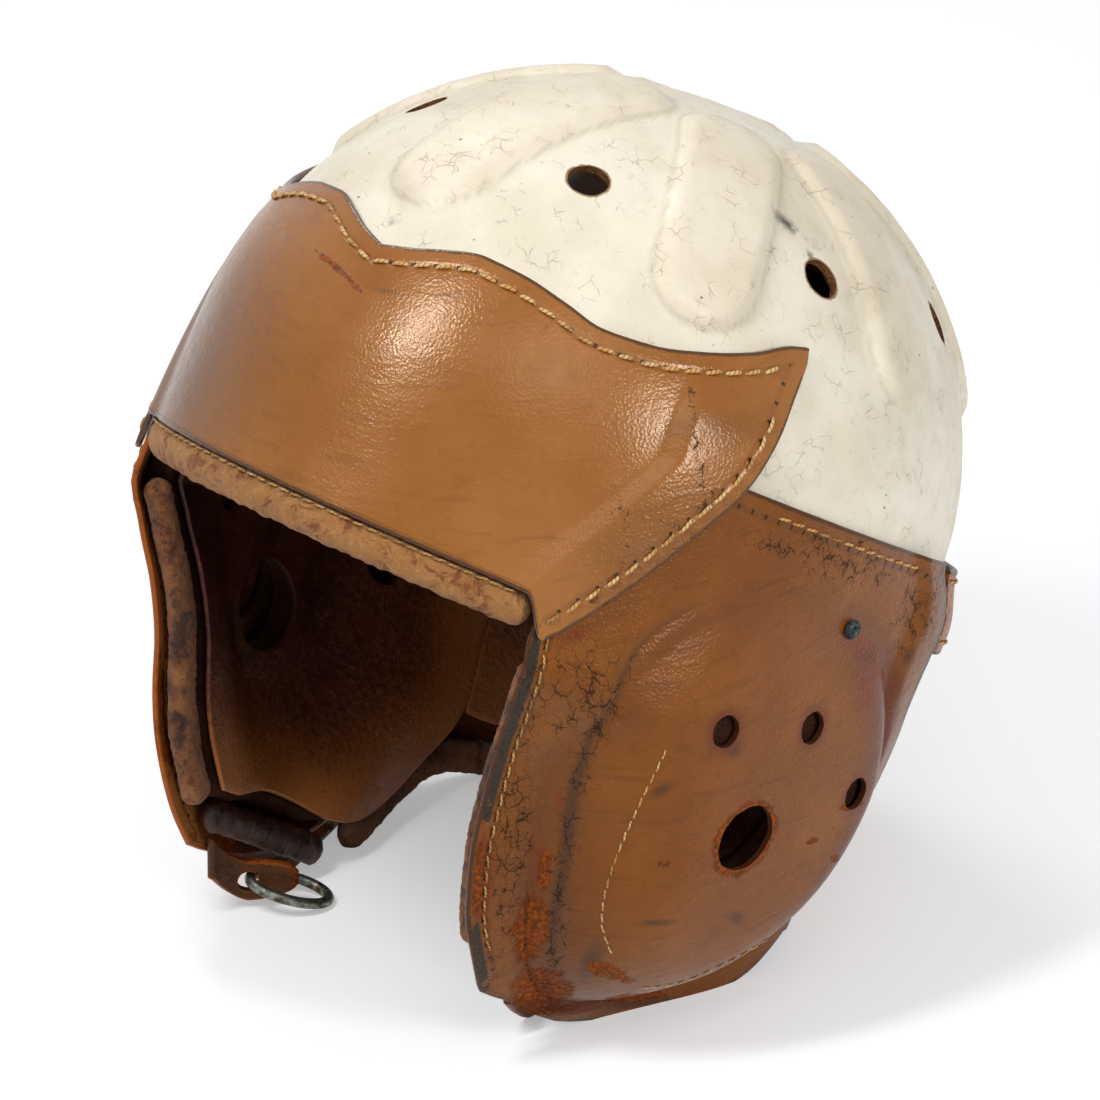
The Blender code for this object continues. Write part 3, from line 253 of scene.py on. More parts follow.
    def skin(self, azimuth: Array, height: Array, offset: Array | float, lap: Lap = Lap.PLAIN) -> Array:
        """Points at an offset out from the form, for azimuths in degrees."""
        azimuth, height = np.broadcast_arrays(np.radians(azimuth), height)
        offset = np.broadcast_to(offset, azimuth.shape)[..., None]
        return self.point(azimuth, height, lap) + offset * self.normal(azimuth, height, lap)

    def layer(self, azimuth: Array, height: Array, outside: Array | float, thickness: float,
              lap: Lap = Lap.PLAIN) -> tuple[Array, Array]:
        """The outer and inner faces of a layer whose outside lies at an offset from the form."""
        return self.skin(azimuth, height, outside, lap), self.skin(azimuth, height, outside - thickness, lap)

    def crown_toward(self, way: Array) -> tuple[Array, Array]:
        """The point on the crown's ellipsoid in each direction from its own centre, and the normal there."""
        tilt = math.radians(self.crown_tilt)
        cosine, sine = math.cos(tilt), math.sin(tilt)
        turned = np.stack([way[..., 0], way[..., 1] * cosine + way[..., 2] * sine,
                           way[..., 2] * cosine - way[..., 1] * sine], axis=-1)
        axes = np.array([self.crown_half_width, self.crown_half_length, self.crown_half_height])
        reach = 1.0 / np.linalg.norm(turned / axes, axis=-1, keepdims=True)
        slope = turned / axes**2
        normal = np.stack([slope[..., 0], slope[..., 1] * cosine - slope[..., 2] * sine,
                           slope[..., 2] * cosine + slope[..., 1] * sine], axis=-1)
        centre = np.array([0.0, self.crown_back, -self.crown_sink])
        return centre + way * reach, unit(normal)

    def crown_point(self, polar: Array, azimuth: Array) -> tuple[Array, Array]:
        """A point on the crown's ellipsoid and its normal, by the angle from the upright axis, in radians."""
        across, up = np.sin(polar), np.cos(polar) + 0.0 * azimuth
        return self.crown_toward(np.stack([across * np.sin(azimuth), -across * np.cos(azimuth), up], axis=-1))

    def azimuth_at(self, back: Array, height: Array) -> Array:
        """The azimuth on the left side at which the form lies a given way back, by halving."""
        low, high = np.full(np.shape(back), 40.0), np.full(np.shape(back), 150.0)
        for _ in range(40):
            middle = 0.5 * (low + high)
            short = self.point(np.radians(middle), height, Lap.PLAIN)[..., 1] < back
            low, high = np.where(short, middle, low), np.where(short, high, middle)
        return 0.5 * (low + high)

    def stand(self, points: Array) -> Array:
        """Leans worn-frame points back and sets them down on the table."""
        lean = math.radians(self.lean_back)
        y = points[..., 1] * math.cos(lean) + points[..., 2] * math.sin(lean) + self.stand_back
        z = points[..., 2] * math.cos(lean) - points[..., 1] * math.sin(lean) + self.floor_drop
        return np.stack([points[..., 0], y, z], axis=-1)


FORM = HelmetForm()


def add_object(name: str, data: bpy.types.ID) -> bpy.types.Object:
    """Adds an object to the scene, at the origin."""
    made = bpy.data.objects.new(name, data)
    bpy.context.scene.collection.objects.link(made)
    return made


@dataclass(frozen=True)
class PhotoView:
    """The photograph's long-lens view: its turn, its scale in pixels per metre and one point it looks at."""

    azimuth: float = 45.0
    elevation: float = 28.4
    scale: float = 3380.0
    size: float = 1100.0
    anchor: tuple = (571.0, 441.0)
    distance: float = 5.0
    sensor: float = 36.0

    def axes(self) -> tuple[Array, Array, Array]:
        """The view's right, up and backward ways."""
        a, e = math.radians(self.azimuth), math.radians(self.elevation)
        right = np.array([math.cos(a), math.sin(a), 0.0])
        back = np.array([math.sin(a) * math.cos(e), -math.cos(a) * math.cos(e), math.sin(e)])
        return right, np.cross(back, right), back

    def look(self, points: Array) -> Array:
        """The pixel that each standing point falls on."""
        right, up, _ = self.axes()
        away = points - np.array([0.0, FORM.stand_back, FORM.floor_drop])
        across, down = self.scale * (away @ right), -self.scale * (away @ up)
        return np.stack([self.anchor[0] + across, self.anchor[1] + down], axis=-1)

    def make_camera(self) -> bpy.types.Object:
        """Adds the camera, aimed so that the anchor lands on its own pixel."""
        right, up, back = self.axes()
        middle = 0.5 * self.size
        aim = np.array([0.0, FORM.stand_back, FORM.floor_drop])
        aim = aim + ((middle - self.anchor[0]) * right - (middle - self.anchor[1]) * up) / self.scale
        data = bpy.data.cameras.new("camera")
        data.sensor_width = self.sensor
        data.lens = self.sensor * self.distance * self.scale / self.size
        data.clip_end = 4.0 * self.distance
        camera = add_object("camera", data)
        turn = Matrix([list(right), list(up), list(back)]).transposed().to_4x4()
        camera.matrix_world = Matrix.Translation(Vector(aim + self.distance * back)) @ turn
        bpy.context.scene.camera = camera
        return camera


PHOTO = PhotoView()


def spots(points: Array, table: tuple) -> Array:
    """Soft oval marks seen in the photograph.

    Args:
        points: Standing points.
        table: Rows of pixel x and y, half width, half height and turn in degrees.

    Returns:
        The strongest mark at each point, from 0 to 1.
    """
    seen = PHOTO.look(points)
    mark = np.zeros(seen.shape[:-1])
    for x, y, wide, tall, turn in table:
        c, s = math.cos(math.radians(turn)), math.sin(math.radians(turn))
        dx, dy = seen[..., 0] - x, seen[..., 1] - y
        mark = np.maximum(mark, np.exp(-(((dx * c + dy * s) / wide) ** 2 + ((dy * c - dx * s) / tall) ** 2)))
    return mark


def tracks(points: Array, table: tuple, width: float) -> Array:
    """A soft mark along a line of pixels: 1 on the line, falling off over the width."""
    seen = PHOTO.look(points)
    line = np.array(table, float)
    nearest = np.full(seen.shape[:-1], np.inf)
    for start, end in zip(line[:-1], line[1:]):
        run = end - start
        share = np.clip(((seen - start) @ run) / (run @ run), 0.0, 1.0)
        nearest = np.minimum(nearest, np.linalg.norm(seen - start - share[..., None] * run, axis=-1))
    return np.exp(-((nearest / width) ** 2))


def nearest_on(points: Array, line: Array) -> tuple[Array, Array]:
    """How far along a line in space each point's nearest place lies, and how far off it is."""
    flat = points.reshape(-1, 3)
    steps = np.linalg.norm(np.diff(line, axis=0), axis=1)
    run = np.concatenate([[0.0], np.cumsum(steps)])
    along, away = np.zeros(len(flat)), np.full(len(flat), np.inf)
    for k in range(len(line) - 1):
        way = line[k + 1] - line[k]
        share = np.clip(((flat - line[k]) @ way) / max(way @ way, 1e-18), 0.0, 1.0)
        gap = np.linalg.norm(flat - line[k] - share[:, None] * way, axis=1)
        closer = gap < away
        away = np.where(closer, gap, away)
        along = np.where(closer, run[k] + share * steps[k], along)
    return along.reshape(points.shape[:-1]), away.reshape(points.shape[:-1])


def linear(code: str) -> tuple:
    """An sRGB hex colour as linear red, green, blue and full alpha."""
    parts = [int(code[i:i + 2], 16) / 255.0 for i in (1, 3, 5)]
    return tuple(p / 12.92 if p <= 0.04045 else ((p + 0.055) / 1.055) ** 2.4 for p in parts) + (1.0,)


def node(tree: bpy.types.NodeTree, kind: str, inputs: dict | None = None, out: int = 0, **settings: object) -> Socket:
    """Adds one shader node with its settings and links.

    Args:
        tree: The material's or world's nodes.
        kind: The node's type without its common beginning.
        inputs: Sockets by name or number, each with a value or the output that feeds it.
        out: The number of the output that is wanted.
        **settings: The node's own properties.

    Returns:
        The wanted output.
    """
    made = tree.nodes.new("ShaderNode" + kind)
    for key, value in settings.items():
        setattr(made, key, value)
    for key, value in (inputs or {}).items():
        if isinstance(value, Socket):
            tree.links.new(value, made.inputs[key])
        else:
            made.inputs[key].default_value = value
    return made.outputs[out]


TIMES = {"operation": "MULTIPLY"}
TIMES_PLUS = {"operation": "MULTIPLY_ADD"}
PLUS = {"operation": "ADD"}
LESS = {"operation": "SUBTRACT"}
MOST = {"operation": "MAXIMUM"}
SOFT = {"interpolation_type": "SMOOTHSTEP"}
TINT = {"data_type": "RGBA", "out": 2}


class Palette:
    """The nodes of one material, round a Principled shader."""

    def __init__(self, name: str) -> None:
        """Starts a material with an empty Principled shader."""
        self.material = bpy.data.materials.new(name)
        self.material.use_nodes = True
        self.tree = self.material.node_tree
        self.shader = self.tree.nodes["Principled BSDF"]
        self.place = node(self.tree, "TexCoord", out=3)

    def add(self, kind: str, inputs: dict | None = None, out: int = 0, **settings: object) -> Socket:
        """Adds a node to this material."""
        return node(self.tree, kind, inputs, out, **settings)

    def carried(self, name: str) -> list[Socket]:
        """The pair of values that the surface carries under a name."""
        pair = self.add("UVMap", uv_map=name)
        return [self.add("SeparateXYZ", {0: pair}, out) for out in (0, 1)]

    def sized(self, size: float, **settings: float) -> dict:
        """Inputs of a pattern in the piece's own place whose features lie so many millimetres apart."""
        return {"Vector": self.place, "Scale": 1 / (size * MILLI), **settings}

    def coats(self, under: Socket | tuple, layers: list[tuple]) -> Socket:
        """Lays colours over each other: each layer's share of its own colour, and the rest of what lies under it.

        Args:
            under: The first colour.
            layers: Rows from the lowest up, each with its colour last. Before that stands the share itself, or else
                a value, the level where its share starts, the level where it is full, and at times its most.

        Returns:
            The finished colour.
        """
        for share, *levels, colour in layers:
            if levels:
                share = self.add("MapRange", {0: share, **dict(zip((1, 2, 4), levels))}, **SOFT)
            over = linear(colour) if isinstance(colour, str) else colour
            under = self.add("Mix", {0: share, 6: under, 7: over}, **TINT)
        return under

    def sum_of(self, start: Socket | float, terms: list[tuple]) -> Socket:
        """Adds values to a start, each times its own share."""
        for value, share in terms:
            start = self.add("Math", {0: value, 1: share, 2: start}, **TIMES_PLUS)
        return start

    def finish(self, colour: Socket, roughness: Socket | float, relief: Socket, depth: float,
               **constants: float) -> bpy.types.Material:
        """Joins colour, roughness and relief to the shader and sets its constant sockets."""
        self.tree.links.new(colour, self.shader.inputs["Base Color"])
        if isinstance(roughness, Socket):
            self.tree.links.new(roughness, self.shader.inputs["Roughness"])
        else:
            self.shader.inputs["Roughness"].default_value = roughness
        raised = self.add("Bump", {"Height": relief, "Distance": depth, "Strength": 1.0})
        self.tree.links.new(raised, self.shader.inputs["Normal"])
        for key, value in constants.items():
            self.shader.inputs[key.replace("_", " ")].default_value = value
        return self.material


@dataclass(frozen=True)
class EnamelFinish:
    """Ivory enamel sprayed on pressed vulcanised fibre.

    To the eye: a satin shell, crazed and specked, yellower on the ribs, greyer over its right side where it is
    soiled and in painted shade, with a band of painted shade round the foot of each rib, and brown fibre where the
    paint has chipped at the vents.
    """

    name: str = "ivory_enamel_on_fibre"
    ivory: str = "#EFE6D3"
    shade: str = "#E3D8C1"
    blush: str = "#DDC9AC"
    speck: str = "#5A4634"
    grime_and_shade: str = "#B4A88E"
    fibre: str = "#8C6844"
    bare: str = "#5C3E28"

    def make(self) -> bpy.types.Material:
        """Builds the material; the surface carries the ribs' blush, soil with painted shade, and vents with scuffs.
        """
        p = Palette(self.name)
        add, at, sized = p.add, p.place, p.sized
        blush, grime_and_shade = p.carried("Tone")
        vent, scuff = p.carried("Wear")
        cloud = add("TexNoise", sized(34, Detail=4.0))
        mottle = add("TexNoise", sized(9, Detail=5.0, Roughness=0.65))
        fine = add("TexNoise", sized(1.3, Detail=2.0))
        broad = add("TexNoise", sized(48, Detail=2.0))
        # specks of 0.4 to 0.8 mm in cells of 7.5 mm, and dust of 0.3 mm in cells of 2.6 mm
        far = sized(7.5)
        pick = add("SeparateColor", {0: add("TexVoronoi", far, 1)})
        dot = add("MapRange", {0: add("TexVoronoi", far), 1: 0.075, 2: 0.03}, **SOFT)
        dot = add("Math", {0: dot, 1: add("MapRange", {0: pick, 1: 0.70, 2: 0.78})}, **TIMES)
        near = sized(2.6)
        pick = add("SeparateColor", {0: add("TexVoronoi", near, 1)})
        dust = add("MapRange", {0: add("TexVoronoi", near), 1: 0.17, 2: 0.08}, **SOFT)
        dust = add("Math", {0: dust, 1: add("MapRange", {0: pick, 1: 0.80, 2: 0.88})}, **TIMES)
        dust = add("Math", {0: dust, 1: add("MapRange", {0: broad, 1: 0.48, 2: 0.60})}, **TIMES)
        # crazing: cell walls 0.15 mm wide, 5 mm apart, bent by the mottle
        bend = add("TexNoise", sized(6, Detail=3.0), 1)
        bend = add("VectorMath", {0: bend, "Scale": 6 * MILLI}, operation="SCALE")
        bent = add("VectorMath", {0: at, 1: bend}, operation="ADD")
        web = add("TexVoronoi", {"Vector": bent, "Scale": 1 / (5 * MILLI)}, feature="DISTANCE_TO_EDGE")
        craze = add("MapRange", {0: web, 1: 0.030, 2: 0.0}, **SOFT)
        craze = add("Math", {0: craze, 1: add("MapRange", {0: mottle, 1: 0.50, 2: 0.66})}, **TIMES)
        # scratches 0.3 mm wide that run one way
        swept = add("Mapping", {0: at, "Rotation": (0.4, 0.7, 0.2), "Scale": (0.12, 1.0, 1.0)})
        scratch = add("TexNoise", {"Vector": swept, "Scale": 1 / (2.2 * MILLI), "Detail": 2.0})
        scratch = add("MapRange", {0: scratch, 1: 0.70, 2: 0.74}, **SOFT)
        scratch = add("Math", {0: scratch, 1: add("MapRange", {0: cloud, 1: 0.45, 2: 0.6})}, **TIMES)
        yellow = add("Math", {0: blush, 1: add("MapRange", {0: mottle, 1: 0.2, 2: 0.65})}, **TIMES)
        # grey: the mottle with the carried soil and painted shade at the rib feet and on the right side
        dirt_and_shade = add("Math", {0: mottle, 1: 0.6, 2: grime_and_shade}, **TIMES_PLUS)
        worn = add("Math", {0: mottle, 1: 0.5, 2: vent}, **TIMES_PLUS)
        scuffed = add("Math", {0: scuff, 1: add("MapRange", {0: mottle, 1: 0.44, 2: 0.58}, **SOFT)}, **TIMES)
        # bare fibre wherever the shell faces inward
        outward = add("VectorMath", {0: at, 1: (0.0, 0.0, 0.12)}, operation="SUBTRACT")
        outward = add("VectorMath", {0: outward, 1: add("NewGeometry", {}, 1)}, 1, operation="DOT_PRODUCT")
        colour = p.coats(linear(self.ivory), [
            (cloud, 0.40, 0.66, self.shade),
            (add("Math", {0: yellow, 1: 0.55}, **TIMES), self.blush),
            (dirt_and_shade, 0.45, 1.25, 0.5, self.grime_and_shade),
            (add("Math", {0: scratch, 1: 0.35}, **TIMES), "#C0AE90"),
            (add("Math", {0: craze, 1: 0.30}, **TIMES), "#9C896E"),
            (add("Math", {0: dust, 1: 0.6}, **TIMES), "#85745C"),
            (add("Math", {0: dot, 1: 0.9}, **TIMES), self.speck),
            (scuffed, "#3A332B"),
            (worn, 0.76, 1.0, self.fibre),
            (add("MapRange", {0: outward, 1: 0.0, 2: -0.01}), self.bare),
        ])
        relief = add("Math", {0: fine, 1: 0.3, 2: mottle}, **TIMES_PLUS)
        relief = add("Math", {0: relief, 1: add("Math", {0: dot, 1: craze}, **PLUS)}, **LESS)
        rough = add("MapRange", {0: mottle, 1: 0.3, 2: 0.7, 3: 0.36, 4: 0.52})
        return p.finish(colour, rough, relief, 0.22 * MILLI, IOR=1.5)


@dataclass(frozen=True)
class LeatherFinish:
    """Vegetable-tanned strap leather, drum dyed and glazed.

    To the eye: fine pebbled grain with a soft waxed gloss, dark burnished edges, needle holes in a shallow groove,
    fine dry cracks, orange flesh where the grain is torn away, and at times a strip of another colour in front.
    """

    name: str
    base: str = "#8E5312"
    light: str = "#9A6028"
    deep: str = "#6E3C0C"
    flesh: str = "#A04A0C"
    rust: str = "#702610"
    ink: str = "#1E120C"
    roughness: tuple = (0.30, 0.46)
    gloss: float = 0.34
    grain: float = 0.8 * MILLI
    crack: float = 3.8 * MILLI
    inset: float = 5.5 * MILLI
    spacing: float = 6.8 * MILLI
    strip: float = 0.0
    strip_colour: str = "#211F1C"
    wax: str = "#EACBA6"
    burn: float = 0.85
    relief: float = 0.5 * MILLI

    def make(self) -> bpy.types.Material:
        """Builds the material from what the surface carries: seam, wear with cracks, tone, and edge."""
        p = Palette(self.name)
        add, at, sized = p.add, p.place, p.sized
        along, away = p.carried("Seam")
        wear, crack = p.carried("Wear")
        dark, red = p.carried("Tone")
        front, rim = p.carried("Edge")
        cloud = add("TexNoise", sized(38, Detail=4.0))
        mottle = add("TexNoise", sized(5, Detail=6.0, Roughness=0.7))
        fleck = add("TexNoise", sized(1.4, Detail=3.0))
        # grain: soft cells about 0.8 mm across, a little coarser than real so that they show
        pores = add("TexVoronoi", {"Vector": at, "Scale": 1 / self.grain}, feature="SMOOTH_F1")
        pores = add("MapRange", {0: pores, 1: 0.15, 2: 0.75}, **SOFT)
        # creases that run round the head, 3 mm apart
        level = add("Mapping", {0: at, "Scale": (0.35, 0.35, 2.2)})
        crease = add("TexNoise", {"Vector": level, "Scale": 1 / (6 * MILLI), "Detail": 4.0, "Distortion": 0.6})
        # dry cracks: cell walls bent by noise, opened by what the surface carries
        bend = add("TexNoise", sized(3.5, Detail=4.0), 1)
        bend = add("VectorMath", {0: bend, "Scale": 4.5 * MILLI}, operation="SCALE")
        bent = add("VectorMath", {0: at, 1: bend}, operation="ADD")
        drawn = add("Mapping", {0: bent, "Scale": (1.0, 1.0, 0.55)})
        wide = add("TexVoronoi", {"Vector": drawn, "Scale": 1 / self.crack}, feature="DISTANCE_TO_EDGE")
        slim = add("TexVoronoi", {"Vector": bent, "Scale": 2.3 / self.crack}, feature="DISTANCE_TO_EDGE")
        vary = add("MapRange", {0: mottle, 1: 0.38, 2: 0.60, 3: 0.02, 4: 1.0})
        dry = add("Math", {0: crack, 1: vary}, **TIMES)
        wide = add("Math", {0: add("Math", {0: dry, 1: 0.066}, **TIMES), 1: wide}, **LESS)
        slim = add("Math", {0: add("Math", {0: dry, 1: 0.060}, **TIMES), 1: slim}, **LESS)
        slim = add("MapRange", {0: slim, 1: 0.0, 2: 0.05, 4: 0.55}, **SOFT)
        split = add("Math", {0: add("MapRange", {0: wide, 1: 0.0, 2: 0.022}, **SOFT), 1: slim}, **MOST)
        torn = add("Math", {0: mottle, 1: 1.5, 2: wear}, **TIMES_PLUS)
        torn = add("MapRange", {0: torn, 1: 1.12, 2: 1.40}, **SOFT)
        scrape = add("Math", {0: mottle, 1: 1.3, 2: rim}, **TIMES_PLUS)
        scrape = add("MapRange", {0: scrape, 1: 1.36, 2: 1.62, 4: 0.7}, **SOFT)
        burnt = add("Math", {0: mottle, 1: 1.2 * MILLI, 2: away}, **TIMES_PLUS)
        burnt = add("MapRange", {0: burnt, 1: 1.6 * MILLI, 2: 0.9 * MILLI, 4: self.burn}, **SOFT)
        # needle holes 0.9 mm wide where two stitches meet, in a groove 2 mm wide; the holes are dark dots of painted
        # shade
        beat = add("Math", {0: add("Math", {0: along, 1: self.spacing}, operation="DIVIDE")}, operation="FRACT")
        beat = add("Math", {0: add("Math", {0: beat, 1: 0.5}, **LESS)}, operation="ABSOLUTE")
        off = add("Math", {0: add("Math", {0: away, 1: self.inset}, **LESS)}, operation="ABSOLUTE")
        hole = add("MapRange", {0: off, 1: 0.80 * MILLI, 2: 0.45 * MILLI}, **SOFT)
        hole = add("Math", {0: hole, 1: add("MapRange", {0: beat, 1: 0.40, 2: 0.45}, **SOFT)}, **TIMES)
        groove = add("MapRange", {0: off, 1: 1.7 * MILLI, 2: 0.3 * MILLI}, **SOFT)
        layers = [
            (cloud, 0.36, 0.66, self.light),
            (mottle, 0.50, 0.80, 0.45, self.deep),
            (crease, 0.54, 0.74, 0.35, self.deep),
            (fleck, 0.68, 0.80, 0.22, "#D8B080"),
            # the carried tone: listed dark and red marks, with painted shade round the ear domes and on the front
            # panel
            (dark, 0.05, 1.1, 0.8, "#33211A"),
            (red, 0.1, 1.0, 0.75, self.rust),
            (add("Math", {0: groove, 1: 0.3}, **TIMES), self.deep),
        ]
        if self.strip:
            stripe = add("MapRange", {0: front, 1: self.strip, 2: self.strip - 0.9 * MILLI}, **SOFT)
            held = add("Math", {0: wear, 1: -0.9, 2: mottle}, **TIMES_PLUS)
            held = add("MapRange", {0: held, 1: 0.30, 2: 0.42}, **SOFT)
            layers.append((add("Math", {0: stripe, 1: held}, **TIMES), self.strip_colour))
        layers += [
            (scrape, self.flesh),
            (torn, p.coats(linear("#5A2A0C"), [(add("MapRange", {0: fleck, 1: 0.40, 2: 0.70}), self.flesh)])),
            (add("Math", {0: split, 1: 0.85}, **TIMES), self.ink),
            (burnt, "#2A1910"),
            (hole, "#100906"),
        ]
        colour = p.coats(linear(self.base), layers)
        fluff = add("Math", {0: torn, 1: fleck}, **TIMES)
        relief = p.sum_of(0.0, [(pores, 0.14), (crease, 0.40), (mottle, 0.16), (split, -0.9), (groove, -0.6),
                                (hole, -0.8), (fluff, 1.4)])
        low, high = self.roughness
        rough = add("MapRange", {0: mottle, 1: 0.3, 2: 0.7, 3: low, 4: high})
        matt = add("Math", {0: torn, 1: split}, **MOST)
        rough = add("Math", {0: matt, 1: 0.45, 2: rough}, **TIMES_PLUS)
        return p.finish(colour, rough, relief, self.relief, IOR=1.5, Specular_IOR_Level=self.gloss,
                        Specular_Tint=linear(self.wax))


@dataclass(frozen=True)
class SuedeFinish:
    """Chrome-tanned suede binding.

    To the eye: a matt pale gold nap, rubbed to rust patches and soiled dark where hands and hair touched it.
    """

    name: str
    nap: str = "#AC753E"
    rub: str = "#7E3F1C"
    soil: str = "#4A2A18"
    pale: str = "#C4925A"
    soiling: float = 0.5

    def make(self) -> bpy.types.Material:
        """Builds the material; the surface carries extra soil and a scraped lower edge."""
        p = Palette(self.name)
        add, sized = p.add, p.sized
        soil, scraped = p.carried("Tone")
        patch = add("TexNoise", sized(7, Detail=5.0, Roughness=0.65, Distortion=0.8))
        mid = add("TexNoise", sized(2.2, Detail=4.0, Roughness=0.7))
        # nap tufts of about 0.7 mm, coarser than real so that they show
        fuzz = add("TexNoise", sized(0.7, Detail=3.0, Roughness=0.7))
        other = add("TexNoise", sized(11, Detail=4.0, Roughness=0.6))
        rubbed = add("Math", {0: mid, 1: 0.5, 2: patch}, **TIMES_PLUS)
        dirty = p.sum_of(other, [(soil, 0.35), (mid, 0.3)])
        start = 0.92 - 0.3 * self.soiling
        grey = add("Math", {0: mid, 1: 0.9, 2: scraped}, **TIMES_PLUS)
        colour = p.coats(linear(self.nap), [
            (mid, 0.42, 0.70, 0.8, self.pale),
            (grey, 0.95, 1.5, 0.6, "#A08A74"),
            (rubbed, 0.74, 0.90, 0.9, self.rub),
            (dirty, start, start + 0.22, 0.9, self.soil),
            (fuzz, 0.60, 0.78, 0.35, self.pale),
            (fuzz, 0.42, 0.25, 0.5, self.soil),
        ])
        relief = add("Math", {0: mid, 1: 1.5, 2: fuzz}, **TIMES_PLUS)
        return p.finish(colour, 0.92, relief, 0.8 * MILLI, IOR=1.45, Sheen_Weight=0.12, Sheen_Roughness=0.5)


@dataclass(frozen=True)
class LiningFinish:
    """Thin oxblood skiver glued over felt.

    To the eye: dark, slightly greasy leather with pale scratches, browner and drier toward its rubbed edges, which
    on the ear and nape linings also carry painted light near the opening.
    """

    name: str
    dark: str = "#34110B"
    warm: str = "#522014"
    rubbed: str = "#A4622E"
    scratch: str = "#A27450"

    def make(self) -> bpy.types.Material:
        """Builds the material; the surface carries rubbing, partly painted light, with scratches, and its seam."""
        p = Palette(self.name)
        add, at, sized = p.add, p.place, p.sized
        rub, scratched = p.carried("Tone")
        away = p.carried("Seam")[1]
        cloud = add("TexNoise", sized(24, Detail=4.0, Roughness=0.6))
        mottle = add("TexNoise", sized(4.5, Detail=5.0, Roughness=0.65))
        fine = add("TexNoise", sized(1.0, Detail=2.0))
        flow = add("Mapping", {0: at, "Rotation": (0.5, 0.3, 0.9), "Scale": (0.25, 2.6, 2.6)})
        brushed = add("TexNoise", {"Vector": flow, "Scale": 1 / (4 * MILLI), "Detail": 4.0, "Roughness": 0.6})
        # rubbed and lighter: real rubbing, and on the ear and nape linings painted light near the opening
        worn = add("Math", {0: brushed, 1: 0.9, 2: rub}, **TIMES_PLUS)
        # scratches 0.25 mm wide: thin ridges of a stretched noise, two ways
        lines = []
        for turn in ((0.5, 0.3, 0.9), (1.1, 0.2, 0.4)):
            drawn = add("Mapping", {0: at, "Rotation": turn, "Scale": (0.16, 1.0, 1.0)})
            ridge = add("TexNoise", {"Vector": drawn, "Scale": 1 / (5 * MILLI), "Detail": 2.0})
            ridge = add("Math", {0: add("Math", {0: ridge, 1: 0.5}, **LESS)}, operation="ABSOLUTE")
            lines.append(add("MapRange", {0: ridge, 1: 0.010, 2: 0.002}, **SOFT))
        line = add("Math", {0: lines[0], 1: lines[1]}, **MOST)
        line = add("Math", {0: line, 1: add("MapRange", {0: mottle, 1: 0.48, 2: 0.60}, **SOFT)}, **TIMES)
        line = add("Math", {0: line, 1: add("MapRange", {0: scratched, 1: 0.0, 2: 1.2})}, **TIMES)
        colour = p.coats(linear(self.dark), [
            (cloud, 0.35, 0.68, self.warm),
            (worn, 0.45, 1.35, self.rubbed),
            (mottle, 0.55, 0.75, 0.4, self.dark),
            (away, 3.0 * MILLI, 0.5 * MILLI, 0.5, self.rubbed),
            (line, self.scratch),
        ])
        relief = p.sum_of(mottle, [(fine, 0.3), (brushed, 0.5)])
        rough = add("MapRange", {0: mottle, 1: 0.3, 2: 0.7, 3: 0.34, 4: 0.60})
        return p.finish(colour, rough, relief, 0.5 * MILLI, IOR=1.5, Specular_IOR_Level=0.35)


@dataclass(frozen=True)
class ClothFinish:
    """Wool felt, woven cotton webbing or cut fibre board.

    To the eye: dull matt fibres that darken in clumps, with crossing ribs where the cloth is woven.
    """

    name: str
    light: str = "#6E5642"
    dark: str = "#3C2B20"
    weave: float = 0.0

    def make(self) -> bpy.types.Material:
        """Builds the material; woven cloth gets ribs at its thread spacing."""
        p = Palette(self.name)
        add, at, sized = p.add, p.place, p.sized
        fuzz = add("TexNoise", sized(0.9, Detail=4.0, Roughness=0.7))
        cloud = add("TexNoise", sized(9, Detail=3.0))
        clump = add("Math", {0: cloud, 1: 0.5, 2: fuzz}, **TIMES_PLUS)
        colour = p.coats(linear(self.dark), [(clump, 0.55, 0.95, self.light)])
        relief = fuzz
        if self.weave:
            across, along = (add("TexWave", {"Vector": at, "Scale": 0.31 / self.weave}, 1, bands_direction=way)
                             for way in "XY")
            ribs = add("Math", {0: across, 1: along}, **MOST)
            relief = add("Math", {0: fuzz, 1: 0.4, 2: ribs}, **TIMES_PLUS)
        return p.finish(colour, 0.95, relief, 0.5 * MILLI, IOR=1.45, Specular_IOR_Level=0.1)


@dataclass(frozen=True)
class ThreadFinish:
    """Waxed linen thread of two twisted plies.

    To the eye: golden cords with paler worn tops and dark lines of painted shade where the plies meet.
    """

    name: str
    gold: str = "#CC944A"
    pale: str = "#E4C080"
    dark: str = "#6A3E18"

    def make(self) -> bpy.types.Material:
        """Builds the material; the thread carries its length and the way round it."""
        p = Palette(self.name)
        add, sized = p.add, p.sized
        along, around = p.carried("Thread")
        turns = add("Math", {0: along, 1: 1 / (1.6 * MILLI), 2: around}, **TIMES_PLUS)
        twist = add("Math", {0: add("Math", {0: turns, 1: 2.0 * math.pi}, **TIMES)}, operation="SINE")
        vary = add("TexNoise", sized(5))
        soil = add("TexNoise", sized(13))
        colour = p.coats(linear(self.gold), [
            (vary, 0.35, 0.62, self.pale),
            # painted shade where the plies meet
            (twist, -0.2, -1.0, 0.7, self.dark),
            (soil, 0.54, 0.70, 0.55, self.dark),
        ])
        return p.finish(colour, 0.6, twist, 0.12 * MILLI, IOR=1.5)


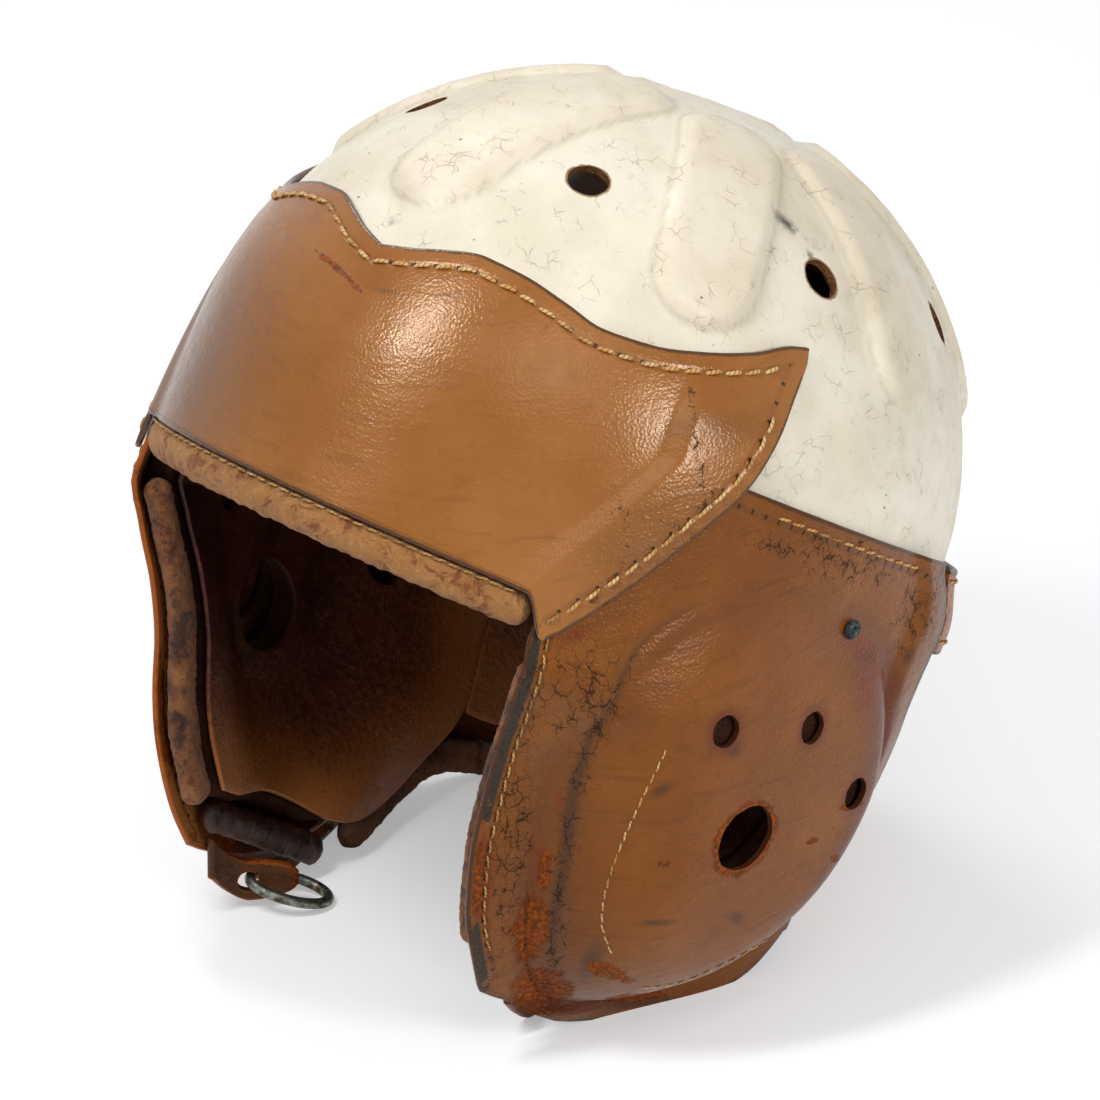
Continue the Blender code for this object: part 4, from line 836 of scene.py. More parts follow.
@dataclass(frozen=True)
class SteelFinish:
    """Blackened steel wire and rivets.

    To the eye: dull grey-green metal, bright where it rubs and brown where it rusts.
    """

    name: str
    dull: str = "#5A5D55"
    bright: str = "#8C8E84"
    rust: str = "#4A3A2C"

    def make(self) -> bpy.types.Material:
        """Builds the material."""
        p = Palette(self.name)
        add, sized = p.add, p.sized
        mottle = add("TexNoise", sized(2.2, Detail=4.0, Roughness=0.6))
        rusted = add("TexNoise", sized(4, Detail=5.0))
        colour = p.coats(linear(self.dull), [
            (mottle, 0.40, 0.65, self.bright),
            (rusted, 0.54, 0.64, self.rust),
        ])
        rough = add("MapRange", {0: mottle, 1: 0.3, 2: 0.7, 3: 0.55, 4: 0.34})
        return p.finish(colour, rough, mottle, 0.15 * MILLI, Metallic=0.9)


ENAMEL = EnamelFinish()
FRONT_LEATHER = LeatherFinish(
    "tan_strap_leather", roughness=(0.17, 0.32), gloss=0.66, wax="#F0DCC4", relief=0.32 * MILLI,
)
SIDE_LEATHER = LeatherFinish(
    "brown_strap_leather", base="#763F0E", light="#834A16", deep="#4E2808", inset=5.0 * MILLI, spacing=5.2 * MILLI,
    strip=3.8 * MILLI, roughness=(0.24, 0.40), gloss=0.44,
)
FAR_LEATHER = LeatherFinish(
    "rubbed_strap_leather", base="#7E4410", light="#8A5018", deep="#562C08", inset=5.0 * MILLI, spacing=5.2 * MILLI,
    strip=11.0 * MILLI, strip_colour="#B0703C", burn=0.0,
)
NAPE_LEATHER = LeatherFinish(
    "brown_nape_leather", base="#744010", light="#804A1A", deep="#502C0C", spacing=5.8 * MILLI,
)
BAND_LEATHER = LeatherFinish(
    "tan_band_leather", base="#8C501C", light="#985C26", deep="#643810", inset=3.5 * MILLI, spacing=5.8 * MILLI,
)
TAB_LEATHER = LeatherFinish("dark_tab_leather", base="#4A2A18", light="#6A4024", deep="#2E1A10", inset=9.0)
FLESH = LeatherFinish(
    "raw_leather_flesh", base="#A8501C", light="#B8602A", deep="#6A3010", roughness=(0.85, 0.95), inset=9.0,
)
FIBRE = ClothFinish("cut_vulcanised_fibre", "#8A6038", "#4A2E1A")
BROW_SUEDE = SuedeFinish("brow_suede", soiling=0.35)
FRONT_SUEDE = SuedeFinish("flap_suede", nap="#985C30", pale="#B07A46", rub="#70361A", soil="#2E180E", soiling=0.7)
HEM_SUEDE = SuedeFinish("hem_suede", nap="#82502A", pale="#9A6638", rub="#5E3018", soil="#24120A", soiling=0.85)
LINING = LiningFinish("oxblood_lining")
BOTTOM_LEATHER = LiningFinish("rolled_lining", dark="#1E0C08", warm="#36180E", rubbed="#54301A")
FELT = ClothFinish("wool_felt", "#452818", "#22130C")
WEBBING = ClothFinish("cotton_webbing", "#8E7A5A", "#5C4A34", 1.4 * MILLI)
GOLD_THREAD = ThreadFinish("gold_linen_thread")
SHELL_THREAD = ThreadFinish("orange_linen_thread", gold="#CF9140", pale="#E2B068", dark="#6A3A14")
FLAP_THREAD = ThreadFinish("worn_linen_thread", gold="#B08040", pale="#CFA25C", dark="#4A2A10")
STEEL = SteelFinish("blackened_steel")
RIVET_STEEL = SteelFinish("japanned_rivet_steel", dull="#23282A", bright="#4A5250", rust="#2A221C")

MADE: dict[str, bpy.types.Material] = {}


def material_of(finish: object) -> bpy.types.Material:
    """The material for a finish, made once."""
    if finish.name not in MADE:
        MADE[finish.name] = finish.make()
    return MADE[finish.name]


def add_mesh(name: str, points: Array, faces: Array, fields: dict[str, Array] | None = None) -> bpy.types.Object:
    """Makes a smooth object from standing points and four-sided faces.

    Args:
        name: The piece's name.
        points: One row for each vertex.
        faces: Rows of four vertex numbers; a repeated number makes a triangle.
        fields: Pairs of values for each vertex, kept as UV maps under their names.

    Returns:
        The linked object, at the origin.
    """
    mesh = bpy.data.meshes.new(name)
    rows = [tuple(dict.fromkeys(face)) for face in faces.tolist()]
    mesh.from_pydata(points.reshape(-1, 3), [], [row for row in rows if len(row) > 2])
    corners = np.empty(len(mesh.loops), np.int32)
    mesh.loops.foreach_get("vertex_index", corners)
    for key, values in (fields or {}).items():
        layer = mesh.uv_layers.new(name=key)
        layer.uv.foreach_set("vector", values.reshape(-1, 2)[corners].astype(np.float32).ravel())
    mesh.shade_smooth()
    return add_object(name, mesh)


def grid_faces(rows: int, columns: int, wrap: bool = False, start: int = 0) -> Array:
    """Four-sided faces of a grid whose columns run on round it if it wraps."""
    r = np.arange(rows - 1)[:, None]
    c = np.arange(columns if wrap else columns - 1)[None, :]
    n = (c + 1) % columns
    quads = np.stack([r * columns + c, (r + 1) * columns + c, (r + 1) * columns + n, r * columns + n], axis=-1)
    return quads.reshape(-1, 4) + start


def outline(rows: int, columns: int) -> Array:
    """Vertex numbers round a grid's edge: down its first column, along its foot, up its last and back."""
    cells = np.arange(rows * columns).reshape(rows, columns)
    return np.concatenate([cells[:-1, 0], cells[-1, :-1], cells[:0:-1, -1], cells[0, :0:-1]])


RIM_SWELL = 0.7


def sheet(name: str, outer: Array, inner: Array, fields: dict[str, Array], round_steps: int = 3) -> bpy.types.Object:
    """A closed sheet with half-round cut edges: two grids, and between them rings that swell outward.

    Args:
        name: The piece's name.
        outer: Rows and columns of worn-frame points on the outside.
        inner: The same on the inside.
        fields: Pairs of values on the outer grid.
        round_steps: Rings between the two grids round the edge.

    Returns:
        The sheet.
    """
    rows, columns = outer.shape[:2]
    count = rows * columns
    ring = outline(rows, columns)
    out, back = outer.reshape(-1, 3), inner.reshape(-1, 3)
    inward = np.clip(np.stack(np.divmod(ring, columns), -1), 1, [rows - 2, columns - 2])
    inward = inward[:, 0] * columns + inward[:, 1]
    way = unit(out[ring] - out[inward], 1e-9)
    middle, half = 0.5 * (out[ring] + back[ring]), 0.5 * (out[ring] - back[ring])
    reach = np.linalg.norm(half, axis=1, keepdims=True)
    turns = np.pi * np.arange(1, round_steps + 1) / (round_steps + 1)
    rims = [middle + half * math.cos(turn) + RIM_SWELL * reach * math.sin(turn) * way for turn in turns]
    points = np.concatenate([out, back] + rims)
    faces = [grid_faces(rows, columns), grid_faces(rows, columns, start=count)[:, ::-1]]
    loops = [ring] + [2 * count + k * len(ring) + np.arange(len(ring)) for k in range(round_steps)] + [ring + count]
    for first, second in zip(loops[:-1], loops[1:]):
        faces.append(np.stack([first, second, np.roll(second, -1), np.roll(first, -1)], axis=-1))
    spread = {}
    for key, values in fields.items():
        flat = values.reshape(-1, 2)
        spread[key] = np.concatenate([flat, flat] + [flat[ring]] * round_steps)
    return add_mesh(name, FORM.stand(points), np.concatenate(faces), spread)


def hoop(name: str, outer: Array, inner: Array, fields: dict[str, Array], pole: bool = False) -> bpy.types.Object:
    """A closed wall that runs full circle, from two grids; with a pole its first row is one point."""
    rows, columns = outer.shape[:2]
    count = rows * columns
    faces = [grid_faces(rows, columns, True), grid_faces(rows, columns, True, count)[:, ::-1]]
    c = np.arange(columns)
    n = (c + 1) % columns
    low = (rows - 1) * columns
    faces.append(np.stack([low + c, count + low + c, count + low + n, low + n], -1))
    if not pole:
        faces.append(np.stack([n, count + n, count + c, c], -1))
    joined = np.concatenate(faces)
    if pole:
        joined = np.where(joined < columns, 0, joined)
        joined = np.where((joined >= count) & (joined < count + columns), count, joined)
    points = np.concatenate([outer.reshape(-1, 3), inner.reshape(-1, 3)])
    doubled = {key: np.concatenate([v.reshape(-1, 2)] * 2) for key, v in fields.items()}
    made = add_mesh(name, FORM.stand(points), joined, doubled)
    made.data.validate()
    return made


def tube(name: str, rings: Array, fields: dict[str, Array], closed: bool = False) -> bpy.types.Object:
    """A closed tube through worn-frame rings, with a point at each end unless it runs into itself."""
    count, sides = rings.shape[:2]
    faces = grid_faces(count, sides, True)
    points = rings.reshape(-1, 3)
    s = np.arange(sides)
    n = (s + 1) % sides
    last = (count - 1) * sides
    if closed:
        faces = np.concatenate([faces, np.stack([last + s, s, n, last + n], -1)])
    else:
        ends = np.stack([rings[0].mean(0), rings[-1].mean(0)])
        points = np.concatenate([points, ends])
        first_cap = np.stack([s, n, np.full(sides, len(points) - 2), s], -1)
        last_cap = np.stack([last + n, last + s, np.full(sides, len(points) - 1), last + n], -1)
        faces = np.concatenate([faces, first_cap, last_cap])
        fields = {k: np.concatenate([v.reshape(-1, 2), v.reshape(-1, 2)[[0, -1]]]) for k, v in fields.items()}
    return add_mesh(name, points, faces, fields)


def wear_flat(piece: bpy.types.Object) -> None:
    """Cuts away what would lie under the table and closes the cut with a flat face."""
    shape = bmesh.new()
    shape.from_mesh(piece.data)
    parts = list(shape.verts) + list(shape.edges) + list(shape.faces)
    bmesh.ops.bisect_plane(shape, geom=parts, plane_co=(0.0, 0.0, 0.0), plane_no=(0.0, 0.0, 1.0), clear_inner=True)
    rims = [edge for edge in shape.edges if edge.is_boundary]
    bmesh.ops.triangle_fill(shape, use_beauty=True, edges=rims, normal=(0.0, 0.0, -1.0))
    shape.to_mesh(piece.data)
    shape.free()
    piece.data.set_sharp_from_angle(angle=math.radians(40.0))


def bore(piece: bpy.types.Object, holes: list[tuple], wall: object) -> None:
    """Cuts round holes right through a piece; the cut walls get their own finish.

    Args:
        piece: The sheet to cut.
        holes: Centre, way, radius and length of each hole, in the worn frame.
        wall: The finish of the cut walls.
    """
    sides = 48
    turn = full_turn(sides)
    rings = []
    for centre, way, radius, length in holes:
        way = unit(np.array(way, float))
        side = unit(np.cross(way, [0.3, 0.5, 0.81]))
        up = np.cross(way, side)
        rough = radius * (1.0 + 0.012 * np.sin(5.0 * turn) + 0.008 * np.sin(11.0 * turn + 1.0))[:, None]
        flat = rough * (np.cos(turn)[:, None] * side + np.sin(turn)[:, None] * up)
        rings.append([np.array(centre) + 0.5 * length * step * way + flat for step in (-1.0, 1.0)])
    points = FORM.stand(np.array(rings).reshape(-1, 3))
    faces = []
    for k in range(len(holes)):
        s = np.arange(sides)
        n = (s + 1) % sides
        first, second = 2 * k * sides, (2 * k + 1) * sides
        faces += np.stack([first + s, first + n, second + n, second + s], -1).tolist()
        faces += [list(range(first, first + sides))[::-1], list(range(second, second + sides))]
    mesh = bpy.data.meshes.new("bore")
    mesh.from_pydata(points, [], faces)
    mesh.materials.append(material_of(wall))
    tool = add_object("bore", mesh)
    cut = piece.modifiers.new("bore", "BOOLEAN")
    cut.object = tool
    cut.solver = "EXACT"
    cut.material_mode = "TRANSFER"
    settle(piece)
    piece.data.set_sharp_from_angle(angle=math.radians(40.0))
    bpy.data.objects.remove(tool, do_unlink=True)


def settle(piece: bpy.types.Object) -> None:
    """Makes a piece's modifiers part of its mesh."""
    graph = bpy.context.evaluated_depsgraph_get()
    made = bpy.data.meshes.new_from_object(piece.evaluated_get(graph))
    piece.modifiers.clear()
    piece.data = made


def dress(piece: bpy.types.Object, finish: object, slot: str, replaces: tuple = (),
          body: str = "helmet") -> bpy.types.Object:
    """Gives a piece its finish, attaches it to the body it moves with and hides the CAD nodes it stands for.

    Args:
        piece: The finished piece.
        finish: Its finish.
        slot: Not used.
        replaces: The CAD nodes it stands for.
        body: The body it moves with.

    Returns:
        The piece.
    """
    if len(piece.data.materials):
        piece.data.materials[0] = material_of(finish)
    else:
        piece.data.materials.append(material_of(finish))
    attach(piece, body)
    if replaces:
        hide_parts(*replaces)
    LOG.info("%s: %d faces", piece.name, len(piece.data.polygons))
    return piece


@dataclass(frozen=True)
class Thickness:
    """Thicknesses and gaps between the layers, in metres."""

    shell: float = 0.0027
    leather: float = 0.0019
    lining: float = 0.0016
    felt: float = 0.0078
    gap: float = 0.0005
    soft_gap: float = 0.0009
    lining_gap: float = 0.0015
    lap_gap: float = 0.0012

    def lining_depth(self) -> float:
        """How deep the lining's outer side lies under the form."""
        return self.soft_gap + self.felt + self.lining_gap


LAYER = Thickness()


def mirrored(points: Array, side: float) -> Array:
    """The left side's points, or their mirror image for the right."""
    return points * np.array([side, 1.0, 1.0])


def pairs(first: Array | float, second: Array | float, like: Array) -> Array:
    """Two values for each point of a grid."""
    shape = like.shape[:-1]
    return np.stack([np.broadcast_to(first, shape), np.broadcast_to(second, shape)], axis=-1)


@dataclass(frozen=True)
class Seam:
    """A row of lock stitches along a line on the form: short bowed threads that dip into their holes."""

    name: str
    finish: ThreadFinish
    spacing: float
    radius: float = 0.42 * MILLI
    share: float = 0.84
    rise: float = 0.35 * MILLI
    slant: float = 0.12
    slot: str = "side_leather"

    def sew(self, azimuth: Array, height: Array, offset: Array | float, lap: Lap, side: float) -> bpy.types.Object:
        """Sews along azimuths and heights, at an offset from the form.

        Args:
            azimuth: The line's azimuths in degrees.
            height: Its heights.
            offset: The carrying surface's offset.
            lap: The form that the leather follows.
            side: 1 for the wearer's left, -1 for the right.

        Returns:
            One object with every stitch of the row.
        """
        offset = np.broadcast_to(offset, azimuth.shape)
        line = FORM.skin(azimuth, height, offset, lap)
        run = run_along(line)
        count = max(int(run[-1] / self.spacing), 1)
        steps = np.linspace(0.0, 1.0, 8)
        starts = self.spacing * (np.arange(count) + 0.5 * (1.0 - self.share))
        place = starts[:, None] + self.spacing * self.share * steps
        a, h, o = (np.interp(place, run, values) for values in (azimuth, height, offset))
        bow = np.sin(np.pi * steps) ** 0.6 * (self.rise + self.radius) - 0.6 * self.radius
        middle = FORM.skin(a, h, o + bow, lap)
        up = FORM.normal(np.radians(a), h, lap)
        across = unit(np.cross(up, unit(np.gradient(middle, axis=1))))
        chance = np.random.default_rng(7)
        swing = (self.slant + chance.normal(0.0, 0.05, (count, 1))) * self.spacing * self.share
        middle = middle + (swing * (steps - 0.5))[..., None] * across
        sides = 6
        turn = full_turn(sides)
        slim = self.radius * (0.55 + 0.45 * np.sin(np.pi * steps) ** 0.5)[None, :, None, None]
        ring = np.cos(turn)[:, None] * across[:, :, None] * 1.15 + np.sin(turn)[:, None] * up[:, :, None] * 0.8
        points = middle[:, :, None] + slim * ring
        one = grid_faces(len(steps), sides, True)[:, ::-1]
        caps = np.array([[0, 1, 2, 3], [0, 3, 4, 5]])
        last = (len(steps) - 1) * sides
        one = np.concatenate([one, caps[:, ::-1], caps + last])
        faces = (one[None] + np.arange(count)[:, None, None] * len(steps) * sides).reshape(-1, 4)
        thread = np.stack(np.broadcast_arrays(place[:, :, None], turn / (2.0 * math.pi)), axis=-1)
        made = add_mesh(self.name, FORM.stand(mirrored(points, side)), faces if side > 0 else faces[:, ::-1],
                        {"Thread": thread})
        return dress(made, self.finish, self.slot)


def inset_line(azimuth: Array, height: Array, inset: float, lap: Lap, turn: float) -> tuple[Array, Array]:
    """Moves a line on the form sideways over the surface, by solving for the small steps that make the shift.

    Args:
        azimuth: The line's azimuths in degrees.
        height: Its heights.
        inset: How far to move.
        lap: The form it lies on.
        turn: 1 to move to the left of the line's own way seen from outside, -1 to the right.

    Returns:
        The moved azimuths and heights.
    """
    for _ in range(4):
        radians = np.radians(azimuth)
        step = math.radians(0.2)
        part = 0.25 * inset
        line = FORM.point(radians, height, lap)
        ahead = unit(np.gradient(line, axis=0), 1e-12)
        shift = turn * part * np.cross(FORM.normal(radians, height, lap), ahead)
        by_turn = (FORM.point(radians + step, height, lap) - line) / step
        by_height = (FORM.point(radians, height + FORM.normal_step, lap) - line) / FORM.normal_step
        tt, hh = (by_turn * by_turn).sum(-1), (by_height * by_height).sum(-1)
        th, ts, hs = (by_turn * by_height).sum(-1), (by_turn * shift).sum(-1), (by_height * shift).sum(-1)
        span = tt * hh - th * th
        azimuth = azimuth + np.degrees((ts * hh - hs * th) / span)
        height = height + (hs * tt - ts * th) / span
    return azimuth, height


@dataclass(frozen=True)
class Crown:
    """The pressed shell: a tilted ellipsoid with seven raised ribs, seven vents and a plumb foot."""

    rib_count: int = 7
    rib_rise: float = 0.0035
    rib_half_flat: float = 0.0115
    rib_flank: float = 0.0075
    rib_start: float = 0.046
    rib_low: float = 0.063
    rib_slope_share: float = 0.87
    rib_turn: float = -3.0
    vent_height: float = 0.075
    vent_azimuths: tuple = (20.3, 76.0, 131.5, 177.0, 228.5, 280.0, 324.0)
    vent_diameter: float = 0.0125
    edge_drop: float = 0.006
    ripple_rise: float = 0.00012
    ripple_length: float = 0.012
    columns: int = 336
    # marks in the photograph's pixels: x, y, half width, half height and turn
    scuffs: tuple = ((785, 228, 20, 4, 40), (395, 232, 4, 4, 0), (500, 227, 5, 5, 0), (806, 262, 4, 10, 20))
    # grey patches over the crown's right side: partly soil, partly painted shade
    grime_and_shade: tuple = ((905, 420, 60, 110, 0), (860, 300, 40, 60, 20), (800, 235, 50, 30, 40), (760, 480, 60, 30, 10))

    def rise(self, polar: Array, azimuth: Array, point: Array) -> Array:
        """The ribs' height: round-ended bands, flat on top, whose flanks follow a smooth step."""
        radius = np.linalg.norm(point, axis=-1)
        period = 2.0 * math.pi / self.rib_count
        away = (azimuth - math.radians(self.rib_turn) + 0.5 * period) % period - 0.5 * period
        past = np.maximum(self.rib_start - radius * polar, (self.rib_low - point[..., 2]) / self.rib_slope_share)
        outside = np.hypot(radius * np.sin(polar) * away, np.maximum(past, 0.0)) - self.rib_half_flat
        return self.rib_rise * smooth_step(1.0 - outside / self.rib_flank)

    def vents(self) -> tuple[Array, Array]:
        """The vents' centres and the ways out of them."""
        azimuth = np.radians(np.array(self.vent_azimuths))
        height = np.full(azimuth.shape, self.vent_height)
        return FORM.point(azimuth, height, Lap.BARE), FORM.normal(azimuth, height, Lap.BARE)

    def make(self) -> None:
        """Builds the shell and cuts its vents."""
        azimuth = full_turn(self.columns)
        polar = np.radians(np.concatenate([np.linspace(0.0, 20.0, 12), np.linspace(21.0, 66.0, 64)]))[:, None]
        point, normal = FORM.crown_point(polar, azimuth)
        rise = self.rise(polar, azimuth, point)[..., None]
        low = point[-1, :, 2]
        height = low + np.linspace(0.0, 1.0, 26)[1:, None] * (-self.edge_drop - low)
        degrees = np.degrees(azimuth)
        outer = np.concatenate([point + rise * normal, FORM.skin(degrees, height, 0.0, Lap.BARE)])
        inner = np.concatenate([point + (rise - LAYER.shell) * normal,
                                FORM.skin(degrees, height, -LAYER.shell, Lap.BARE)])
        outer = outer + self.ripple_rise * ripple(outer, self.ripple_length)[..., None] * unit(outer)
        standing = FORM.stand(outer)
        rise = np.concatenate([rise[..., 0], np.zeros(height.shape)]) / self.rib_rise
        flank = smooth_step(rise * 1.4) * (1.0 - 0.35 * smooth_step(2.0 * rise - 1.0))
        centres, ways = self.vents()
        vent = np.min(np.linalg.norm(outer[..., None, :] - centres, axis=-1), axis=-1)
        vent = np.exp(-np.maximum(vent / (0.5 * self.vent_diameter) - 1.0, 0.0) * 5.0)
        # painted shade: a grey band round the foot of each rib's flanks
        foot = 0.80 * np.exp(-(((rise - 0.22) / 0.20) ** 2))
        fields = {"Tone": pairs(flank, np.maximum(0.6 * spots(standing, self.grime_and_shade), foot), outer),
                  "Wear": pairs(vent, spots(standing, self.scuffs), outer)}
        shell = hoop("crown", outer, inner, fields, pole=True)
        holes = [(c, w, 0.5 * self.vent_diameter, 0.030) for c, w in zip(centres, ways)]
        bore(shell, holes, FIBRE)
        dress(shell, ENAMEL, "crown_paint", ("crown_shell",))


@dataclass(frozen=True)
class Skirt:
    """The outlines that the leather pieces share, as shares of named heights with azimuths in degrees."""

    wing_tip_height: float = 0.0545
    wing_tip_azimuth: float = 71.3
    brow_hem_drop: float = 0.0402
    brow_drop: float = 0.0513
    brow_fall_azimuth: float = 40.0
    brow_azimuth: float = 44.9
    front_top_shares: tuple = (
        (0.0, 0.61), (5.0, 0.661), (9.1, 0.716), (15.1, 0.772), (21.2, 0.765), (29.2, 0.718),
        (35.3, 0.674), (43.3, 0.695), (51.3, 0.763), (60.3, 0.864), (67.4, 0.965), (71.3, 0.992),
    )
    wing_edge_shares: tuple = (
        (44.9, 0.0), (47.0, 0.045), (51.2, 0.156), (55.2, 0.268), (58.9, 0.387), (62.5, 0.498),
        (65.7, 0.608), (67.9, 0.738), (69.9, 0.864), (71.3, 0.958),
    )
    side_top: float = 0.0105
    side_drop: float = 0.156
    side_front_shares: tuple = (
        (0.0, 57.5), (0.12, 52.3), (0.27, 45.4), (0.33, 43.6), (0.37, 43.4), (0.409, 44.1), (0.495, 48.6),
        (0.583, 53.6), (0.668, 57.7), (0.758, 61.3), (0.829, 65.2), (0.898, 70.1), (0.945, 74.6), (1.0, 80.9),
    )
    side_rear_shares: tuple = (
        (0.0, 120.0), (0.066, 124.0), (0.16, 123.8), (0.25, 125.6), (0.33, 130.5), (0.42, 134.5), (0.55, 136.5),
        (0.68, 136.0), (0.78, 133.0), (0.854, 127.8), (0.913, 120.0), (0.966, 111.5), (0.99, 104.0), (1.0, 99.0),
    )
    side_lap_azimuths: tuple = (8.0, 3.5)
    lift_full: float = 0.023
    lift_top: float = 0.042
    nape_lap: float = 5.5
    nape_lap_ease: float = 5.0
    nape_lap_play: float = 1.2
    nape_top: float = 0.004
    nape_edge_drop: float = 0.112
    nape_mid_drop: float = 0.097

    def front_top(self, azimuth: Array) -> Array:
        """The front panel's upper edge."""
        return self.wing_tip_height * curve_through(self.front_top_shares, np.abs(azimuth))

    def wing_edge(self, azimuth: Array) -> Array:
        """The front panel's lower edge: level across the brow, then up along each wing."""
        azimuth = np.abs(azimuth)
        rise = self.wing_tip_height + self.brow_drop
        rising = -self.brow_drop + rise * curve_through(self.wing_edge_shares, azimuth)
        fallen = smooth_step((azimuth - self.brow_fall_azimuth) / (self.brow_azimuth - self.brow_fall_azimuth))
        level = -self.brow_hem_drop - (self.brow_drop - self.brow_hem_drop) * fallen
        return np.where(azimuth > self.brow_azimuth, rising, level)

    def side_height(self, share: Array) -> Array:
        """The height at a share of the side panel's depth."""
        return self.side_top - share * (self.side_top + self.side_drop)

    def side_edge(self, table: tuple, height: Array) -> Array:
        """The azimuth of one of the side panel's edges at a height."""
        share = np.clip((self.side_top - height) / (self.side_top + self.side_drop), 0.0, 1.0)
        return curve_through(table, share)


SKIRT = Skirt()


@dataclass(frozen=True)
class FrontPanel:
    """The brow leather with its two wings: one sheet, sewn a little way in from its edge."""

    columns: int = 291
    rows: int = 85
    top_thread: float = 0.60 * MILLI
    wing_thread: float = 0.56 * MILLI
    # points left out at the ends of the lines that the seams follow
    top_trim: int = 18
    wing_trims: tuple = (4, 40)
    wing_start: float = 0.3
    hem_near: float = 3.0 * MILLI
    edge_fade: float = 1.2 * MILLI
    # marks in the photograph's pixels: lines of x and y, or x, y, half width, half height and turn
    crack_width: float = 3.0
    crack_side: float = -0.02
    crack_spot_share: float = 0.5
    wear_share: float = 0.95
    dark_share: float = 0.7
    shade_share: float = 0.44
    far_shade_share: float = 0.72
    cracks: tuple = (
        ((688, 392), (690, 430), (697, 470), (701, 505)), ((618, 498), (628, 540), (620, 566), (616, 580)),
        ((612, 512), (660, 520), (690, 535)), ((592, 600), (608, 605), (622, 622)),
    )
    crack_spots: tuple = ((655, 560, 60, 16, -32), (705, 500, 18, 26, 0))
    wear: tuple = ((338, 270, 30, 4, 40), (359, 290, 13, 4, 45), (592, 597, 8, 5, -30), (612, 578, 7, 4, -30))
    dark: tuple = ((392, 297, 20, 3, 12), (447, 301, 18, 3, -4), (700, 510, 6, 9, 0), (545, 333, 9, 2, -35))
    # painted shade over the wing, and on the far end, which turns away from the light
    shade: tuple = ((640, 545, 95, 60, -35), (700, 430, 90, 22, 0))
    far_end_shade: tuple = ((185, 350, 95, 170, 15),)

    def lift(self, azimuth: Array, height: Array) -> Array:
        """How far the panel rides up over the side panels near its wings."""
        away = np.abs(azimuth) - SKIRT.side_edge(SKIRT.side_front_shares, height)
        far, near = SKIRT.side_lap_azimuths
        lift = (LAYER.leather + LAYER.gap) * smooth_step((away + far) / (far - near))
        return lift * smooth_step((SKIRT.lift_top - height) / (SKIRT.lift_top - SKIRT.lift_full))

    def make(self) -> None:
        """Builds the panel and its two seams."""
        azimuth = np.linspace(-SKIRT.wing_tip_azimuth, SKIRT.wing_tip_azimuth, self.columns)
        top, low = SKIRT.front_top(azimuth), SKIRT.wing_edge(azimuth)
        height = top + np.linspace(0.0, 1.0, self.rows)[:, None] * (low - top)
        spread = np.broadcast_to(azimuth, height.shape)
        lift = self.lift(spread, height)
        outer, inner = FORM.layer(spread, height, LAYER.gap + LAYER.leather + lift, LAYER.leather)
        upper = outer[0]
        right_wing = outer[-1, azimuth <= -SKIRT.brow_azimuth][::-1]
        left_wing = outer[-1, azimuth >= SKIRT.brow_azimuth]
        along, away = nearest_on(outer, upper[::2])
        for wing in (right_wing, left_wing):
            wing_along, wing_away = nearest_on(outer, wing[::2])
            along = np.where(wing_away < away, wing_along, along)
            away = np.minimum(away, wing_away)
        hem = np.linalg.norm(outer - outer[-1][None], axis=-1)
        away = np.where(hem < away - self.hem_near, hem + NO_SEAM * (hem > CUT_EDGE), away)
        standing = FORM.stand(outer)
        crack = np.max([tracks(standing, line, self.crack_width) for line in self.cracks], axis=0)
        crack = np.maximum(crack, self.crack_spot_share * spots(standing, self.crack_spots))
        crack = crack * (outer[..., 0] > self.crack_side)
        # tone: the listed dark marks with painted shade on the wing and the far end; a share of it also reddens
        shares = ((self.dark_share, self.dark), (self.shade_share, self.shade), (self.far_shade_share, self.far_end_shade))
        shade = np.max([share * spots(standing, table) for share, table in shares], axis=0)
        fields = {"Seam": pairs(along, away, outer),
                  "Wear": pairs(self.wear_share * spots(standing, self.wear), crack, outer),
                  "Tone": pairs(shade, 0.4 * shade, outer),
                  "Edge": pairs(0.05, np.exp(-away / self.edge_fade), outer)}
        panel = sheet("front_leather", outer, inner, fields)
        dress(panel, FRONT_LEATHER, "front_leather", ("front_panel",))
        self.sew()

    def sew(self) -> None:
        """Sews the top edge and both wings, an inset in from the edge."""
        azimuth = np.linspace(-SKIRT.wing_tip_azimuth, SKIRT.wing_tip_azimuth, 700)
        turned, height = inset_line(azimuth, SKIRT.front_top(azimuth), FRONT_LEATHER.inset, Lap.PLAIN, -1.0)
        kept = slice(self.top_trim, -self.top_trim)
        offset = LAYER.gap + LAYER.leather + self.lift(turned, height)
        row = Seam("front_top_stitches", GOLD_THREAD, FRONT_LEATHER.spacing, self.top_thread, slot="front_leather")
        row.sew(turned[kept], height[kept], offset[kept], Lap.PLAIN, 1.0)
        azimuth = np.linspace(SKIRT.brow_azimuth + self.wing_start, SKIRT.wing_tip_azimuth, 400)
        inset = FRONT_LEATHER.inset - MILLI
        turned, height = inset_line(azimuth, SKIRT.wing_edge(azimuth), inset, Lap.PLAIN, 1.0)
        kept = slice(self.wing_trims[0], -self.wing_trims[1])
        offset = LAYER.gap + LAYER.leather + self.lift(turned, height)
        for side, suffix in SIDES:
            row = Seam("wing_stitches" + suffix, GOLD_THREAD, FRONT_LEATHER.spacing, self.wing_thread,
                       slot="front_leather")
            row.sew(turned[kept], height[kept], offset[kept], Lap.PLAIN, side)


